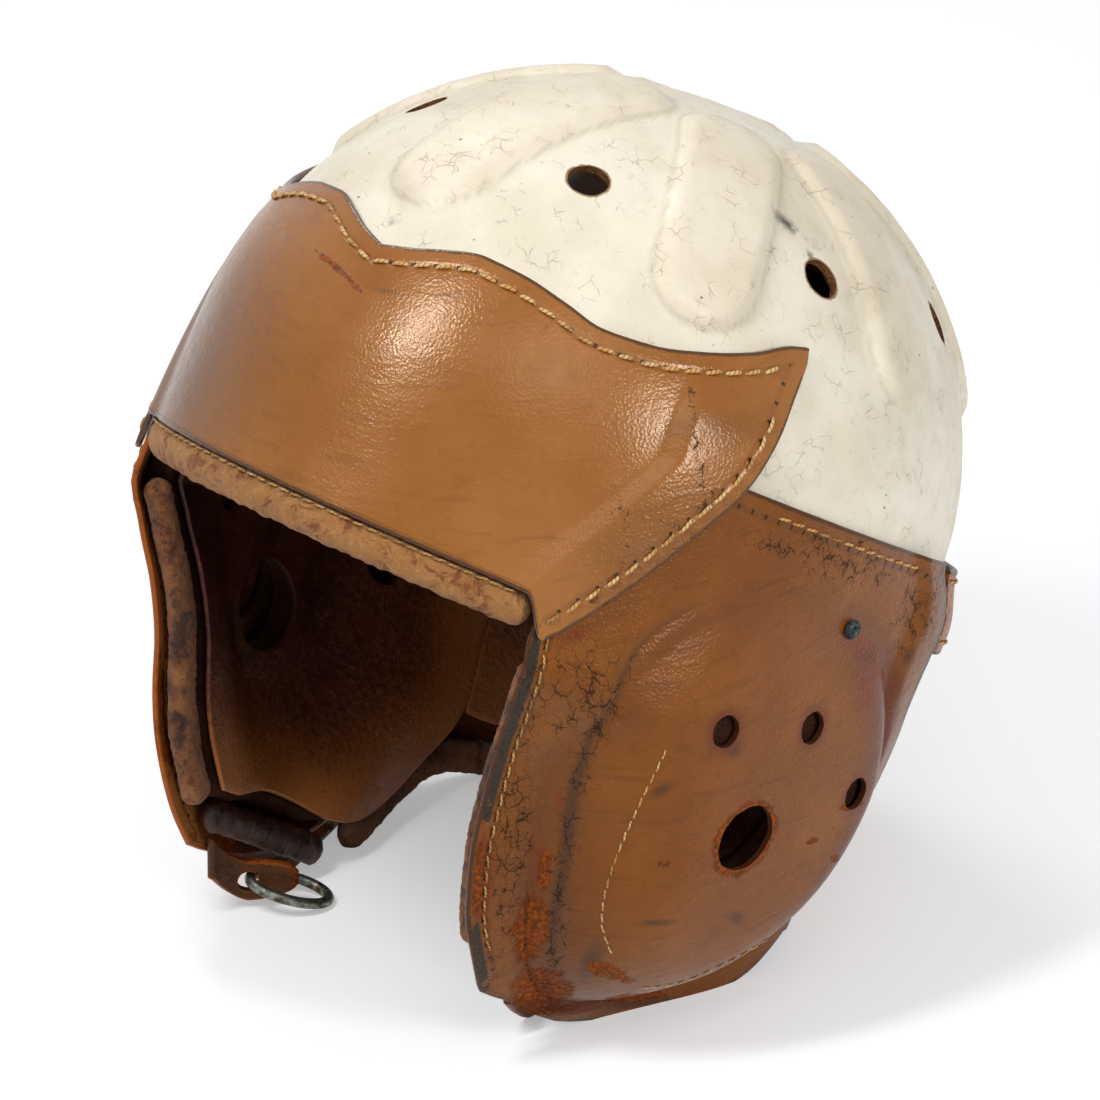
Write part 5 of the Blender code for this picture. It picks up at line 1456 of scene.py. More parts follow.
@dataclass(frozen=True)
class SidePanel:
    """One flap: leather moulded into a dome over the ear, bored for it, over felt and a dark lining."""

    side: float
    suffix: str
    columns: int = 170
    rows: int = 150
    ear_hole: float = 0.021
    ear_bore: float = 0.030
    ear_lining_hole: float = 0.027
    sight_drop: float = 0.084
    small_hole: float = 0.0100
    small_hole_shares: tuple = ((-0.47, -0.458), (0.133, -0.617), (0.683, -0.383))
    lining_top: float = 0.002
    lining_front_inset: float = 0.0095
    lining_rear_shares: tuple = (
        (0.0, 138.0), (0.58, 138.0), (0.63, 136.5), (0.67, 134.0), (0.72, 130.0), (0.775, 125.5), (0.825, 120.5),
        (0.86, 116.0), (0.89, 110.0), (0.91, 103.0),
    )
    lining_end_share: float = 0.90
    pad_top_drop: float = 0.0072
    pad_edge_step: float = 0.8
    crease_depth: float = 0.0010
    crease_width: float = 0.028
    edge_fade: float = 1.6 * MILLI
    hole_fade: float = 2.4 * MILLI
    rear_fade: float = 3.6 * MILLI
    rear_drop: float = 0.085
    # the band of painted shade on the dome's rear rim
    behind_place: float = 0.97
    behind_width: float = 0.085
    flange_place: float = 0.985
    flange_width: float = 0.03
    flange_drop: float = 0.10
    shade_start: float = 0.60
    shade_reach: float = 0.42
    shade_end: float = 1.04
    shade_fade: float = 0.12
    flap_seam_shares: tuple = (0.36, 0.965)
    shell_seam_azimuths: tuple = (73.0, 118.0)
    shell_seam_inset: float = 3.6 * MILLI
    shell_spacing: float = 5.8 * MILLI
    dome_spacing: float = 4.2 * MILLI
    # the crease round the dome, which is also painted with shade, and the weights round the dome of the painted shade
    # on its rear rim and toward its edge
    crease_places: tuple = (1.04, 1.06, 1.06, 1.03, 1.09, 1.09, 0.91, 0.885, 0.92, 0.95, 0.97, 1.0)
    crease_shares: tuple = (0.2, 0.2, 0.2, 0.15, 0.2, 0.7, 1.0, 1.0, 1.0, 0.5, 0.2, 0.2)
    rear_shares: tuple = (1.0, 1.0, 0.6, 0.1, 0.0, 0.0, 0.0, 0.0, 0.0, 0.0, 0.3, 0.8)
    shade_shares: tuple = (1.1, 1.1, 0.7, 0.30, 0.35, 0.40, 0.42, 0.45, 0.55, 0.70, 0.85, 1.0)
    dome_row: tuple = (
        (70.4, -0.0666), (72.6, -0.0832), (76.2, -0.0996), (80.2, -0.1152), (83.8, -0.1236), (88.8, -0.1307),
    )
    rim_row: tuple = ((99.2, -0.1362), (106.1, -0.1306), (109.5, -0.1217), (116.5, -0.1089))
    # marks in the photograph's pixels: a line of x and y, or x, y, half width, half height and turn
    crease: tuple = ((620, 672), (590, 735), (572, 800), (560, 870), (553, 960), (548, 1000))
    crease_mark_width: float = 12.0
    cracks: tuple = ((585, 690, 38, 50, 20), (530, 700, 16, 50, 12), (510, 850, 22, 110, 5), (840, 560, 60, 22, 20),
                     (915, 610, 22, 40, 20), (775, 545, 40, 12, 15))
    wear: tuple = ((530, 925, 20, 42, 8), (545, 870, 6, 34, 6), (540, 985, 34, 22, 0), (480, 868, 6, 40, 6),
                   (480, 900, 9, 14, 0), (851, 803, 14, 5, -20),
                   (608, 968, 28, 8, 20), (663, 859, 8, 4, 0), (810, 839, 9, 3, -15), (833, 857, 6, 5, 0),
                   (634, 997, 36, 7, -3), (723, 835, 5, 14, 10))
    dark: tuple = ((884, 692, 9, 36, 4), (865, 655, 18, 12, 40), (735, 915, 9, 7, 0), (655, 918, 22, 3, -4),
                   (660, 786, 14, 6, -30), (907, 656, 6, 12, 30), (728, 742, 13, 13, 0), (636, 1003, 60, 6, -4),
                   (590, 960, 14, 30, 20))
    red: tuple = ((575, 632, 18, 7, -25), (529, 693, 13, 4, 0), (858, 646, 24, 14, 20), (870, 680, 22, 34, 10),
                  (585, 690, 5, 5, 0), (560, 795, 4, 14, 0), (540, 860, 8, 30, 5), (484, 880, 10, 60, 5))

    def leather_grid(self) -> tuple[Array, Array, Array]:
        """The leather's azimuths and heights, and how far its rear edge rides up over the nape panel."""
        height = SKIRT.side_height(np.linspace(0.0, 1.0, self.rows))[:, None]
        start = SKIRT.side_edge(SKIRT.side_front_shares, height)
        end = SKIRT.side_edge(SKIRT.side_rear_shares, height)
        azimuth = start + np.linspace(0.0, 1.0, self.columns) * (end - start)
        height = np.broadcast_to(height, azimuth.shape)
        under = end - SKIRT.nape_lap
        ease = (azimuth - under + SKIRT.nape_lap_ease) / (SKIRT.nape_lap_ease - SKIRT.nape_lap_play)
        return azimuth, height, (LAYER.leather + LAYER.lap_gap) * smooth_step(ease)

    def holes(self, ear: float) -> list[tuple]:
        """The ear bore and the small bores round it."""
        middle = self.side * 0.8 * FORM.crown_half_width
        length = FORM.crown_half_width
        way = (1.0, 0.0, 0.0)
        made = [((middle, FORM.dome_centre_back, -self.sight_drop), way, 0.5 * ear, length)]
        for back, down in self.small_hole_shares:
            y, z = FORM.dome_centre_back + back * FORM.dome_radius, -self.sight_drop - down * FORM.dome_radius
            made.append(((middle, y, z), way, 0.5 * self.small_hole, length))
        return made

    def make(self) -> None:
        """Builds the leather, lining, felts and seams of this side."""
        azimuth, height, lift = self.leather_grid()
        plain = FORM.point(np.radians(azimuth), height, Lap.PLAIN)
        share, turn = FORM.dome_share(plain[..., 1], plain[..., 2])
        crease = (share - round_table(self.crease_places, turn)) / self.crease_width
        crease = np.exp(-(crease**2)) * round_table(self.crease_shares, turn)
        outer = FORM.skin(azimuth, height, LAYER.gap + LAYER.leather + lift - self.crease_depth * crease, Lap.DOMED)
        inner = FORM.skin(azimuth, height, LAYER.gap + lift, Lap.DOMED)
        panel = self.flank("side_leather" + self.suffix, outer, inner, self.marks(outer, plain, crease))
        bore(panel, self.holes(self.ear_hole), FLESH)
        wear_flat(panel)
        dress(panel, SIDE_LEATHER if self.side > 0.0 else FAR_LEATHER, "side_leather", ("side_panel" + self.suffix,))
        self.make_lining()
        self.sew()

    def marks(self, outer: Array, plain: Array, crease: Array) -> dict[str, Array]:
        """What the leather's finish reads.

        Args:
            outer: The leather's outside.
            plain: The same places without the dome.
            crease: The share of the crease round the dome.

        Returns:
            Pairs of values: seam line, wear with cracks, dark with red tone that holds real marks and painted shade,
            and front with worn edge.
        """
        height = plain[..., 2]
        share, turn = FORM.dome_share(plain[..., 1], height)
        along, front = nearest_on(outer, outer[::2, 0])
        top_along, top = nearest_on(outer, outer[0, ::2])
        rear = np.minimum(nearest_on(outer, outer[::2, -1])[1], nearest_on(outer, outer[-1, ::2])[1])
        along = np.where(top < front, top_along, along)
        away = np.minimum(front, top)
        seam_away = np.where(rear < away, np.where(rear < CUT_EDGE, rear, NO_SEAM), away)
        standing = FORM.stand(outer)
        crack = 0.85 * tracks(standing, self.crease, self.crease_mark_width)
        crack = np.maximum(crack, 0.95 * spots(standing, self.cracks))
        flange = 0.72 * np.exp(-((share - self.flange_place) / self.flange_width) ** 2)
        flange = flange * smooth_step((-self.flange_drop - height) / 0.03)
        rim = np.maximum(np.exp(-np.minimum(away, rear) / self.edge_fade), flange)
        # painted shade in a band on the dome's rear rim
        behind = np.exp(-(((share - self.behind_place) / self.behind_width) ** 2))
        behind = behind * round_table(self.rear_shares, turn)
        painted = np.exp(-((rear / self.rear_fade) ** 2)) * smooth_step((height + self.rear_drop) / 0.02)
        shade = 1.0 - 0.75 * smooth_step((share - self.shade_end) / self.shade_fade)
        shade = shade * smooth_step((share - self.shade_start) / self.shade_reach)
        shade = shade * round_table(self.shade_shares, turn)
        # rings round the holes: dark round the small ones as painted shade of their walls, red round all of them
        beside = [np.hypot(plain[..., 1] - centre[1], height - centre[2]) - radius
                  for centre, _, radius, _ in self.holes(self.ear_hole)]
        rings = np.exp(-np.maximum(np.array(beside), 0.0) / self.hole_fade)
        # dark tone: the listed dark marks and the black edge paint at the rear, with painted shade in the crease, on
        # the rear rim, toward the dome's edge and round the small holes
        dark = np.max([spots(standing, self.dark), 0.95 * crease, 0.8 * behind, 1.6 * painted, shade,
                       0.8 * rings[1:].max(axis=0)], axis=0)
        # red tone: the listed red marks and the rings round the holes, with painted shade on the rear rim and toward
        # the dome's edge
        rusty_and_shade = np.max([spots(standing, self.red), 0.8 * behind, 0.8 * rings.max(axis=0), 0.7 * shade], axis=0)
        wear = np.maximum(spots(standing, self.wear), rings[0])
        return {"Seam": pairs(along, seam_away, outer), "Wear": pairs(wear, crack, outer),
                "Tone": pairs(dark, rusty_and_shade, outer), "Edge": pairs(front, rim, outer)}

    def lining_grid(self, extra: float, rows: int, columns: int) -> tuple[Array, Array]:
        """Azimuths and heights of the lining, or of its felt when an edge step is asked for."""
        shares = np.linspace(0.0, 1.0, rows) * self.lining_end_share
        height = (self.lining_top - shares * (self.lining_top + SKIRT.side_drop))[:, None]
        front = SKIRT.side_edge(SKIRT.side_front_shares, height)
        waist = np.linalg.norm(FORM.point(np.radians(front), height, Lap.PLAIN)[..., :2], axis=-1)
        start = front + np.degrees(self.lining_front_inset / waist) + extra
        rear = curve_through(self.lining_rear_shares, shares)[:, None] - extra
        azimuth = start + np.linspace(0.0, 1.0, columns) * (rear - start)
        return azimuth, np.broadcast_to(height, azimuth.shape)

    def make_lining(self) -> None:
        """Builds the dark lining, the felt pad behind it and the felt ring in the dome."""
        azimuth, height = self.lining_grid(0.0, 90, 80)
        outer, inner = FORM.layer(azimuth, height, -LAYER.lining_depth(), LAYER.lining, Lap.HOLLOW)
        foot = nearest_on(inner, inner[-1, ::2])[1]
        edge = np.minimum(foot, nearest_on(inner, inner[::2, -1])[1])
        # lighter toward the foot and the rear: partly real rubbing, partly painted light near the opening
        rub = np.maximum(1.5 * np.exp(-edge / 0.018), 0.4 * smooth_step((azimuth - 100.0) / 30.0))
        scratched = 0.35 + 0.5 * smooth_step((azimuth - 105.0) / 20.0)
        fields = {"Tone": pairs(rub, scratched, outer), "Seam": pairs(0.0, edge, outer)}
        piece = self.flank("lining" + self.suffix, outer, inner, fields)
        bore(piece, self.holes(self.ear_lining_hole), FLESH)
        dress(piece, LINING, "lining_leather", ("ear_lining" + self.suffix,))
        azimuth, height = self.lining_grid(self.pad_edge_step, 34, 30)
        height = np.concatenate([np.full((1, azimuth.shape[1]), -self.pad_top_drop), height[1:]])
        outer, inner = FORM.layer(azimuth, height, -LAYER.soft_gap, LAYER.felt, Lap.HOLLOW)
        pad = self.flank("ear_felt" + self.suffix, outer, inner, {})
        bore(pad, self.holes(self.ear_bore)[:1], FELT)
        dress(pad, FELT, "felt", ("ear_pad" + self.suffix,))
        turn = np.linspace(0.0, 360.0, 96, endpoint=False)
        reach = 0.5 * self.ear_bore + np.linspace(0.0, 0.78, 12)[:, None] * (
            FORM.dome_radius * round_table(FORM.dome_radius_shares, turn) - 0.5 * self.ear_bore)
        back = FORM.dome_centre_back + reach * np.cos(np.radians(turn))
        height = -FORM.dome_centre_drop + reach * np.sin(np.radians(turn))
        azimuth = FORM.azimuth_at(back, height)
        outer = mirrored(FORM.skin(azimuth, height, -LAYER.soft_gap, Lap.DOMED), self.side)
        inner = mirrored(FORM.skin(azimuth, height, LAYER.soft_gap, Lap.HOLLOW), self.side)
        way = int(self.side)
        ring = hoop("dome_felt" + self.suffix, outer[:, ::way], inner[:, ::way], {})
        dress(ring, FELT, "felt", ("dome_ring" + self.suffix,))

    def flank(self, name: str, outer: Array, inner: Array, fields: dict[str, Array]) -> bpy.types.Object:
        """A sheet on this side, mirrored with its columns turned round on the right."""
        if self.side > 0.0:
            return sheet(name, outer, inner, fields)
        outer, inner = mirrored(outer, self.side)[:, ::-1], mirrored(inner, self.side)[:, ::-1]
        return sheet(name, outer, inner, {key: values[:, ::-1] for key, values in fields.items()})

    def sew(self) -> None:
        """Sews the flap's front edge, the shell's edge, the dome's short row and its rim."""
        height = SKIRT.side_height(np.linspace(*self.flap_seam_shares, 500))
        azimuth = SKIRT.side_edge(SKIRT.side_front_shares, height)
        azimuth, height = inset_line(azimuth, height, SIDE_LEATHER.inset, Lap.DOMED, 1.0)
        offset = LAYER.gap + LAYER.leather
        Seam("flap_stitches" + self.suffix, FLAP_THREAD, SIDE_LEATHER.spacing, radius=0.34 * MILLI).sew(
            azimuth, height, offset, Lap.DOMED, self.side)
        azimuth = np.linspace(*self.shell_seam_azimuths, 500)
        azimuth, height = inset_line(azimuth, np.full(500, SKIRT.side_top), self.shell_seam_inset, Lap.DOMED, -1.0)
        Seam("shell_stitches" + self.suffix, SHELL_THREAD, self.shell_spacing).sew(
            azimuth, height, offset, Lap.DOMED, self.side)
        for name, row in (("dome_stitches", self.dome_row), ("dome_rim_stitches", self.rim_row)):
            azimuth = np.linspace(row[0][0], row[-1][0], 500)
            Seam(name + self.suffix, GOLD_THREAD, self.dome_spacing, radius=0.28 * MILLI, rise=0.1 * MILLI).sew(
                azimuth, curve_through(row, azimuth), offset, Lap.DOMED, self.side)


def wrap_back(azimuth: Array) -> Array:
    """Azimuths past the back of the head, turned to the negative ones that mean the same place."""
    return np.where(azimuth > 180.0, azimuth - 360.0, azimuth)


@dataclass(frozen=True)
class Nape:
    """The back of the skirt: panel, band over the shell's edge, felt and lining."""

    band_azimuth: float = 125.6
    band_top: float = 0.0085
    band_drop: float = 0.015
    band_leather: float = 0.0020
    lining_azimuth: float = 138.6
    lining_drops: tuple = (0.0935, 0.0825)
    lining_top: float = 0.002
    pad_top_drop: float = 0.0072
    foot_fade: float = 4.0 * MILLI
    end_fade: float = 5.0 * MILLI
    line_fade: float = 1.2 * MILLI
    seam_start: float = 1.6

    def make(self) -> None:
        """Builds the nape's four layers and the band's seams."""
        along = np.linspace(-1.0, 1.0, 221)
        low = -SKIRT.nape_edge_drop + smooth_step(1.0 - np.abs(along)) * (SKIRT.nape_edge_drop - SKIRT.nape_mid_drop)
        height = SKIRT.nape_top + np.linspace(0.0, 1.0, 80)[:, None] * (low - SKIRT.nape_top)
        front = SKIRT.side_edge(SKIRT.side_rear_shares, height) - SKIRT.nape_lap
        azimuth = wrap_back(180.0 + along * (180.0 - front))
        outer, inner = FORM.layer(azimuth, height, LAYER.gap + LAYER.leather, LAYER.leather)
        foot = nearest_on(outer, outer[-1, ::2])[1]
        dry = 0.35 * smooth_step((-0.03 - height) / 0.05)
        fields = {"Seam": pairs(0.0, np.where(foot < CUT_EDGE, foot, NO_SEAM), outer),
                  "Wear": pairs(0.5 * np.exp(-foot / self.foot_fade), dry, outer),
                  "Tone": pairs(0.25 * smooth_step((-0.05 - height) / 0.06), 0.0, outer),
                  "Edge": pairs(0.05, np.exp(-foot / CUT_EDGE), outer)}
        panel = sheet("nape_leather", outer, inner, fields)
        wear_flat(panel)
        dress(panel, NAPE_LEATHER, "side_leather", ("nape_panel",))
        azimuth = wrap_back(np.linspace(self.band_azimuth, 360.0 - self.band_azimuth, 221))
        height = self.band_top + np.linspace(0.0, 1.0, 22)[:, None] * (-self.band_drop - self.band_top)
        start = LAYER.leather + 2.0 * LAYER.gap
        outer, inner = FORM.layer(azimuth, height, start + self.band_leather, self.band_leather)
        above, below = nearest_on(outer, outer[0, ::2]), nearest_on(outer, outer[-1, ::2])
        away = np.minimum(above[1], below[1])
        run = np.where(above[1] < below[1], above[0], below[0])
        ends = np.minimum(nearest_on(outer, outer[:, 0])[1], nearest_on(outer, outer[:, -1])[1])
        fields = {"Seam": pairs(run, away, outer), "Wear": pairs(0.6 * np.exp(-ends / self.end_fade), 0.3, outer),
                  "Tone": pairs(0.0, 0.0, outer),
                  "Edge": pairs(0.05, np.exp(-np.minimum(away, ends) / self.line_fade), outer)}
        dress(sheet("band_leather", outer, inner, fields), BAND_LEATHER, "front_leather", ("rear_band",))
        first = self.band_azimuth + self.seam_start
        line = np.linspace(first, 360.0 - first, 700)
        for name, level in (("band_top_stitches", self.band_top - BAND_LEATHER.inset),
                            ("band_low_stitches", -self.band_drop + BAND_LEATHER.inset)):
            Seam(name, SHELL_THREAD, BAND_LEATHER.spacing).sew(
                line, np.full(700, level), start + self.band_leather, Lap.PLAIN, 1.0)
        self.make_filling()

    def make_filling(self) -> None:
        """Builds the felt and the lining inside the nape."""
        azimuth = np.linspace(self.lining_azimuth, 360.0 - self.lining_azimuth, 121)
        middle = smooth_step(1.0 - np.abs(azimuth - 180.0) / (180.0 - self.lining_azimuth))
        edge, centre = self.lining_drops
        low = -edge + middle * (edge - centre)
        shares = np.linspace(0.0, 1.0, 60)[:, None]
        height = self.lining_top + shares * (low - self.lining_top)
        spread = wrap_back(np.broadcast_to(azimuth, height.shape))
        outer, inner = FORM.layer(spread, height, -LAYER.lining_depth(), LAYER.lining)
        foot = nearest_on(inner, inner[-1, ::2])[1]
        # lighter toward the foot: partly real rubbing, partly painted light near the opening
        fields = {"Tone": pairs(1.5 * np.exp(-foot / 0.022), 0.9, outer), "Seam": pairs(0.0, foot, outer)}
        dress(sheet("nape_lining_leather", outer, inner, fields), LINING, "lining_leather", ("nape_lining",))
        azimuth, low, shares = azimuth[::4], low[::4], shares[::4]
        height = -self.pad_top_drop + shares * (low + self.pad_top_drop)
        spread = wrap_back(np.broadcast_to(azimuth, height.shape))
        outer, inner = FORM.layer(spread, height, -LAYER.soft_gap, LAYER.felt)
        dress(sheet("nape_felt", outer, inner, {}), FELT, "felt", ("nape_pad",))


@dataclass(frozen=True)
class Brow:
    """The felt and sweatband behind the brow, and the suede roll that binds its hem."""

    pad_azimuth: float = 42.0
    pad_drop: float = 0.0380
    pad_top_drop: float = 0.0072
    band_top: float = 0.010
    band_azimuth: float = 44.0
    roll_azimuth: float = 42.6
    roll_half_height: float = 0.0059
    roll_tuck: float = 0.0006
    roll_half_depth: float = 0.0050
    roll_sink: float = 0.0031
    seam_start: float = 1.5
    seam_drop: float = 1.6 * MILLI
    seam_sink: float = 0.1 * MILLI
    seam_spacing: float = 4.4 * MILLI

    def make(self) -> None:
        """Builds the felt, the sweatband, the roll and its close stitches."""
        azimuth = np.linspace(-self.pad_azimuth, self.pad_azimuth, 61)
        height = np.linspace(-self.pad_top_drop, -self.pad_drop, 16)[:, None]
        outer, inner = FORM.layer(azimuth, height, -LAYER.gap, LAYER.felt)
        dress(sheet("brow_felt", outer, inner, {}), FELT, "felt", ("brow_pad",))
        azimuth = np.linspace(-self.band_azimuth, self.band_azimuth, 121)
        height = np.linspace(self.band_top, -self.pad_drop, 40)[:, None]
        outer, inner = FORM.layer(azimuth, height, -2.0 * LAYER.gap - LAYER.felt, LAYER.lining)
        foot = np.broadcast_to(height + self.pad_drop, outer.shape[:-1])
        fields = {"Tone": pairs(np.exp(-foot / 0.008), 0.6, outer), "Seam": pairs(0.0, foot, outer)}
        dress(sheet("sweatband_leather", outer, inner, fields), LINING, "lining_leather", ("sweatband",))
        azimuth = np.linspace(-self.roll_azimuth, self.roll_azimuth, 300)
        level = np.full(300, -SKIRT.brow_hem_drop + self.roll_tuck - self.roll_half_height)
        roll = Binding("brow_binding", BROW_SUEDE, self.roll_half_height, self.roll_half_depth, self.roll_sink)
        roll.make(azimuth, level, 1.0, "binding_suede", ("brow_roll",))
        last = self.roll_azimuth - self.seam_start
        azimuth = np.linspace(-last, last, 700)
        level = np.full(700, -SKIRT.brow_hem_drop - self.seam_drop)
        Seam("brow_stitches", FLAP_THREAD, self.seam_spacing, radius=0.30 * MILLI).sew(
            azimuth, level, self.roll_half_depth - self.roll_sink - self.seam_sink, Lap.PLAIN, 1.0)


@dataclass(frozen=True)
class Binding:
    """A rolled binding: an oval that follows a line on the form, with round ends and a fuzzy uneven skin."""

    name: str
    finish: object
    half_width: float = 0.0053
    half_depth: float = 0.0042
    sink: float = 0.0047
    sides: int = 28
    fuzz: float = 0.00030
    floored: bool = False

    def make(self, azimuth: Array, height: Array, side: float, slot: str, replaces: tuple) -> bpy.types.Object:
        """Carries the oval along the line; its half sizes close like a circle at each end.

        Args:
            azimuth: The line's azimuths in degrees.
            height: Its heights.
            side: 1 for the wearer's left, -1 for the right.
            slot: The record's material slot.
            replaces: The CAD nodes it stands for.

        Returns:
            The binding.
        """
        centre = FORM.skin(azimuth, height, -self.sink)
        normal = FORM.normal(np.radians(azimuth), height, Lap.PLAIN)
        path = unit(np.gradient(centre, axis=0))
        wide = unit(np.cross(path, normal))
        deep = np.cross(wide, path)
        run = run_along(centre)
        end = np.minimum(run, run[-1] - run) / self.half_depth
        close = np.sqrt(np.maximum(1.0 - (1.0 - np.clip(end, 0.02, 1.0)) ** 2, 0.0))[:, None, None]
        turn = full_turn(self.sides)[None, :, None]
        swell = 1.0 + 0.03 * ripple(centre, 0.03)[:, None, None]
        ring = self.half_width * np.cos(turn) * wide[:, None] + self.half_depth * np.sin(turn) * deep[:, None]
        rings = centre[:, None] + close * swell * ring
        tufts = ripple(rings, 6.0 * MILLI) + 0.5 * ripple(rings, 2.5 * MILLI, 4)
        rings = rings + self.fuzz * tufts[..., None] * unit(ring)
        edge = np.broadcast_to(np.cos(turn[..., 0]), rings.shape[:2])
        fields = {"Tone": pairs(smooth_step(edge * 0.5), smooth_step(-edge), rings),
                  "Seam": pairs(np.broadcast_to(run[:, None], rings.shape[:2]), NO_SEAM, rings)}
        rings = mirrored(rings, side)
        if side < 0.0:
            rings = rings[:, ::-1]
            fields = {key: values[:, ::-1] for key, values in fields.items()}
        made = tube(self.name, FORM.stand(rings), fields)
        if self.floored:
            wear_flat(made)
        return dress(made, self.finish, slot, replaces)


@dataclass(frozen=True)
class Bindings:
    """The rolled bindings round the flaps and the nape."""

    stand_out: float = 0.0005
    front_end_share: float = 0.93
    bottom_rise: float = 0.0085
    bottom_azimuths: tuple = (80.0, 109.0)
    hem_shares: tuple = (
        (116.0, 0.905), (120.5, 0.872), (125.5, 0.822), (130.0, 0.768), (135.0, 0.715), (141.5, 0.678),
        (151.0, 0.653),
    )
    nape_azimuth: float = 152.0
    nape_end_drop: float = 0.0965
    nape_mid_drop: float = 0.0900

    def make(self) -> None:
        """Makes every binding, with its front, bottom and hem on both sides."""
        for side, suffix in SIDES:
            front = Binding("front_binding" + suffix, FRONT_SUEDE)
            start = -SKIRT.brow_drop - 2.0 * front.half_depth
            height = np.linspace(start, SKIRT.side_height(self.front_end_share), 260)
            edge = SKIRT.side_edge(SKIRT.side_front_shares, height)
            waist = np.linalg.norm(FORM.point(np.radians(edge), height, Lap.PLAIN)[..., :2], axis=-1)
            azimuth = edge + np.degrees((front.half_width - self.stand_out) / waist)
            front.make(azimuth, height, side, "binding_suede", ("front_roll" + suffix,))
            azimuth = np.linspace(*self.bottom_azimuths, 120)
            level = np.full(120, -SKIRT.side_drop + self.bottom_rise)
            Binding("bottom_binding" + suffix, BOTTOM_LEATHER, 0.0049, 0.0038).make(
                azimuth, level, side, "lining_leather", ("bottom_roll" + suffix,))
            azimuth = np.linspace(self.hem_shares[0][0], self.hem_shares[-1][0], 200)
            height = -SKIRT.side_drop * curve_through(self.hem_shares, azimuth)
            Binding("hem_binding" + suffix, HEM_SUEDE, floored=True).make(
                azimuth, height, side, "binding_suede", ("hem_roll" + suffix,))
        azimuth = np.linspace(self.nape_azimuth, 360.0 - self.nape_azimuth, 260)
        middle = smooth_step(1.0 - np.abs(azimuth - 180.0) / (180.0 - self.nape_azimuth))
        height = -self.nape_end_drop + middle * (self.nape_end_drop - self.nape_mid_drop)
        Binding("nape_binding", HEM_SUEDE, floored=True).make(
            wrap_back(azimuth), height, 1.0, "binding_suede", ("nape_roll",))


@dataclass(frozen=True)
class Suspension:
    """What holds the head off the shell: a leather band, three crossing webs and a felt under the crown."""

    band_top: float = 0.036
    band_low: float = 0.012
    band_leather: float = 0.0018
    web_thickness: float = 0.0014
    web_half_width: float = 0.010
    web_count: int = 3
    web_slack: float = 0.0095
    web_stack: float = 0.0026
    web_hang_angles: tuple = (62.0, 34.0)
    web_end_angle: float = 81.0
    felt: float = 0.0045
    felt_angle: float = 40.0

    def make(self) -> None:
        """Builds the band, the webs and the felt."""
        web_outer = -LAYER.shell - LAYER.lining_gap
        band_outer = web_outer - self.web_thickness - LAYER.soft_gap
        azimuth = wrap_back(np.linspace(0.0, 360.0, 180, endpoint=False))
        height = np.linspace(self.band_top, self.band_low, 12)[:, None]
        outer, inner = FORM.layer(azimuth, height, band_outer, self.band_leather, Lap.BARE)
        edge = np.minimum(self.band_top - height, height - self.band_low)
        fields = {"Tone": pairs(0.3, 0.5, outer), "Seam": pairs(0.0, edge, outer)}
        dress(hoop("head_band_leather", outer, inner, fields), LINING, "lining_leather", ("head_band",))
        for index in range(self.web_count):
            self.make_web(index, web_outer)
        azimuth = full_turn(96)
        polar = np.radians(np.linspace(0.0, self.felt_angle, 20))[:, None]
        point, normal = FORM.crown_point(polar, azimuth)
        outer = point - (LAYER.shell + LAYER.soft_gap) * normal
        inner = point - (LAYER.shell + LAYER.soft_gap + self.felt) * normal
        dress(hoop("crown_felt_pad", outer, inner, {}, pole=True), FELT, "felt", ("crown_felt",))

    def make_web(self, index: int, web_outer: float) -> None:
        """One strap from the band over the top of the head to the band again, hanging free of the crown."""
        heading = math.pi * (index + 0.5) / self.web_count
        polar = np.radians(np.linspace(-self.web_end_angle, self.web_end_angle, 121))
        point, _ = FORM.crown_point(polar, np.full(polar.shape, heading))
        start, full = (math.radians(angle) for angle in self.web_hang_angles)
        hang = smooth_step((start - np.abs(polar)) / (start - full)) * (self.web_slack + self.web_stack * index)
        across = np.array([math.cos(heading), math.sin(heading), 0.0])
        shifted = point[:, None] + np.linspace(-1.0, 1.0, 9)[:, None] * self.web_half_width * across
        shifted = shifted - np.array([0.0, FORM.crown_back, -FORM.crown_sink])
        edge, normal = FORM.crown_toward(unit(shifted))
        outer = edge + (web_outer - hang)[:, None, None] * normal
        inner = edge + (web_outer - hang - self.web_thickness)[:, None, None] * normal
        name = f"web_{index + 1}"
        dress(sheet(name, outer, inner, {}), WEBBING, "webbing", (f"web_strap_{index + 1}",))


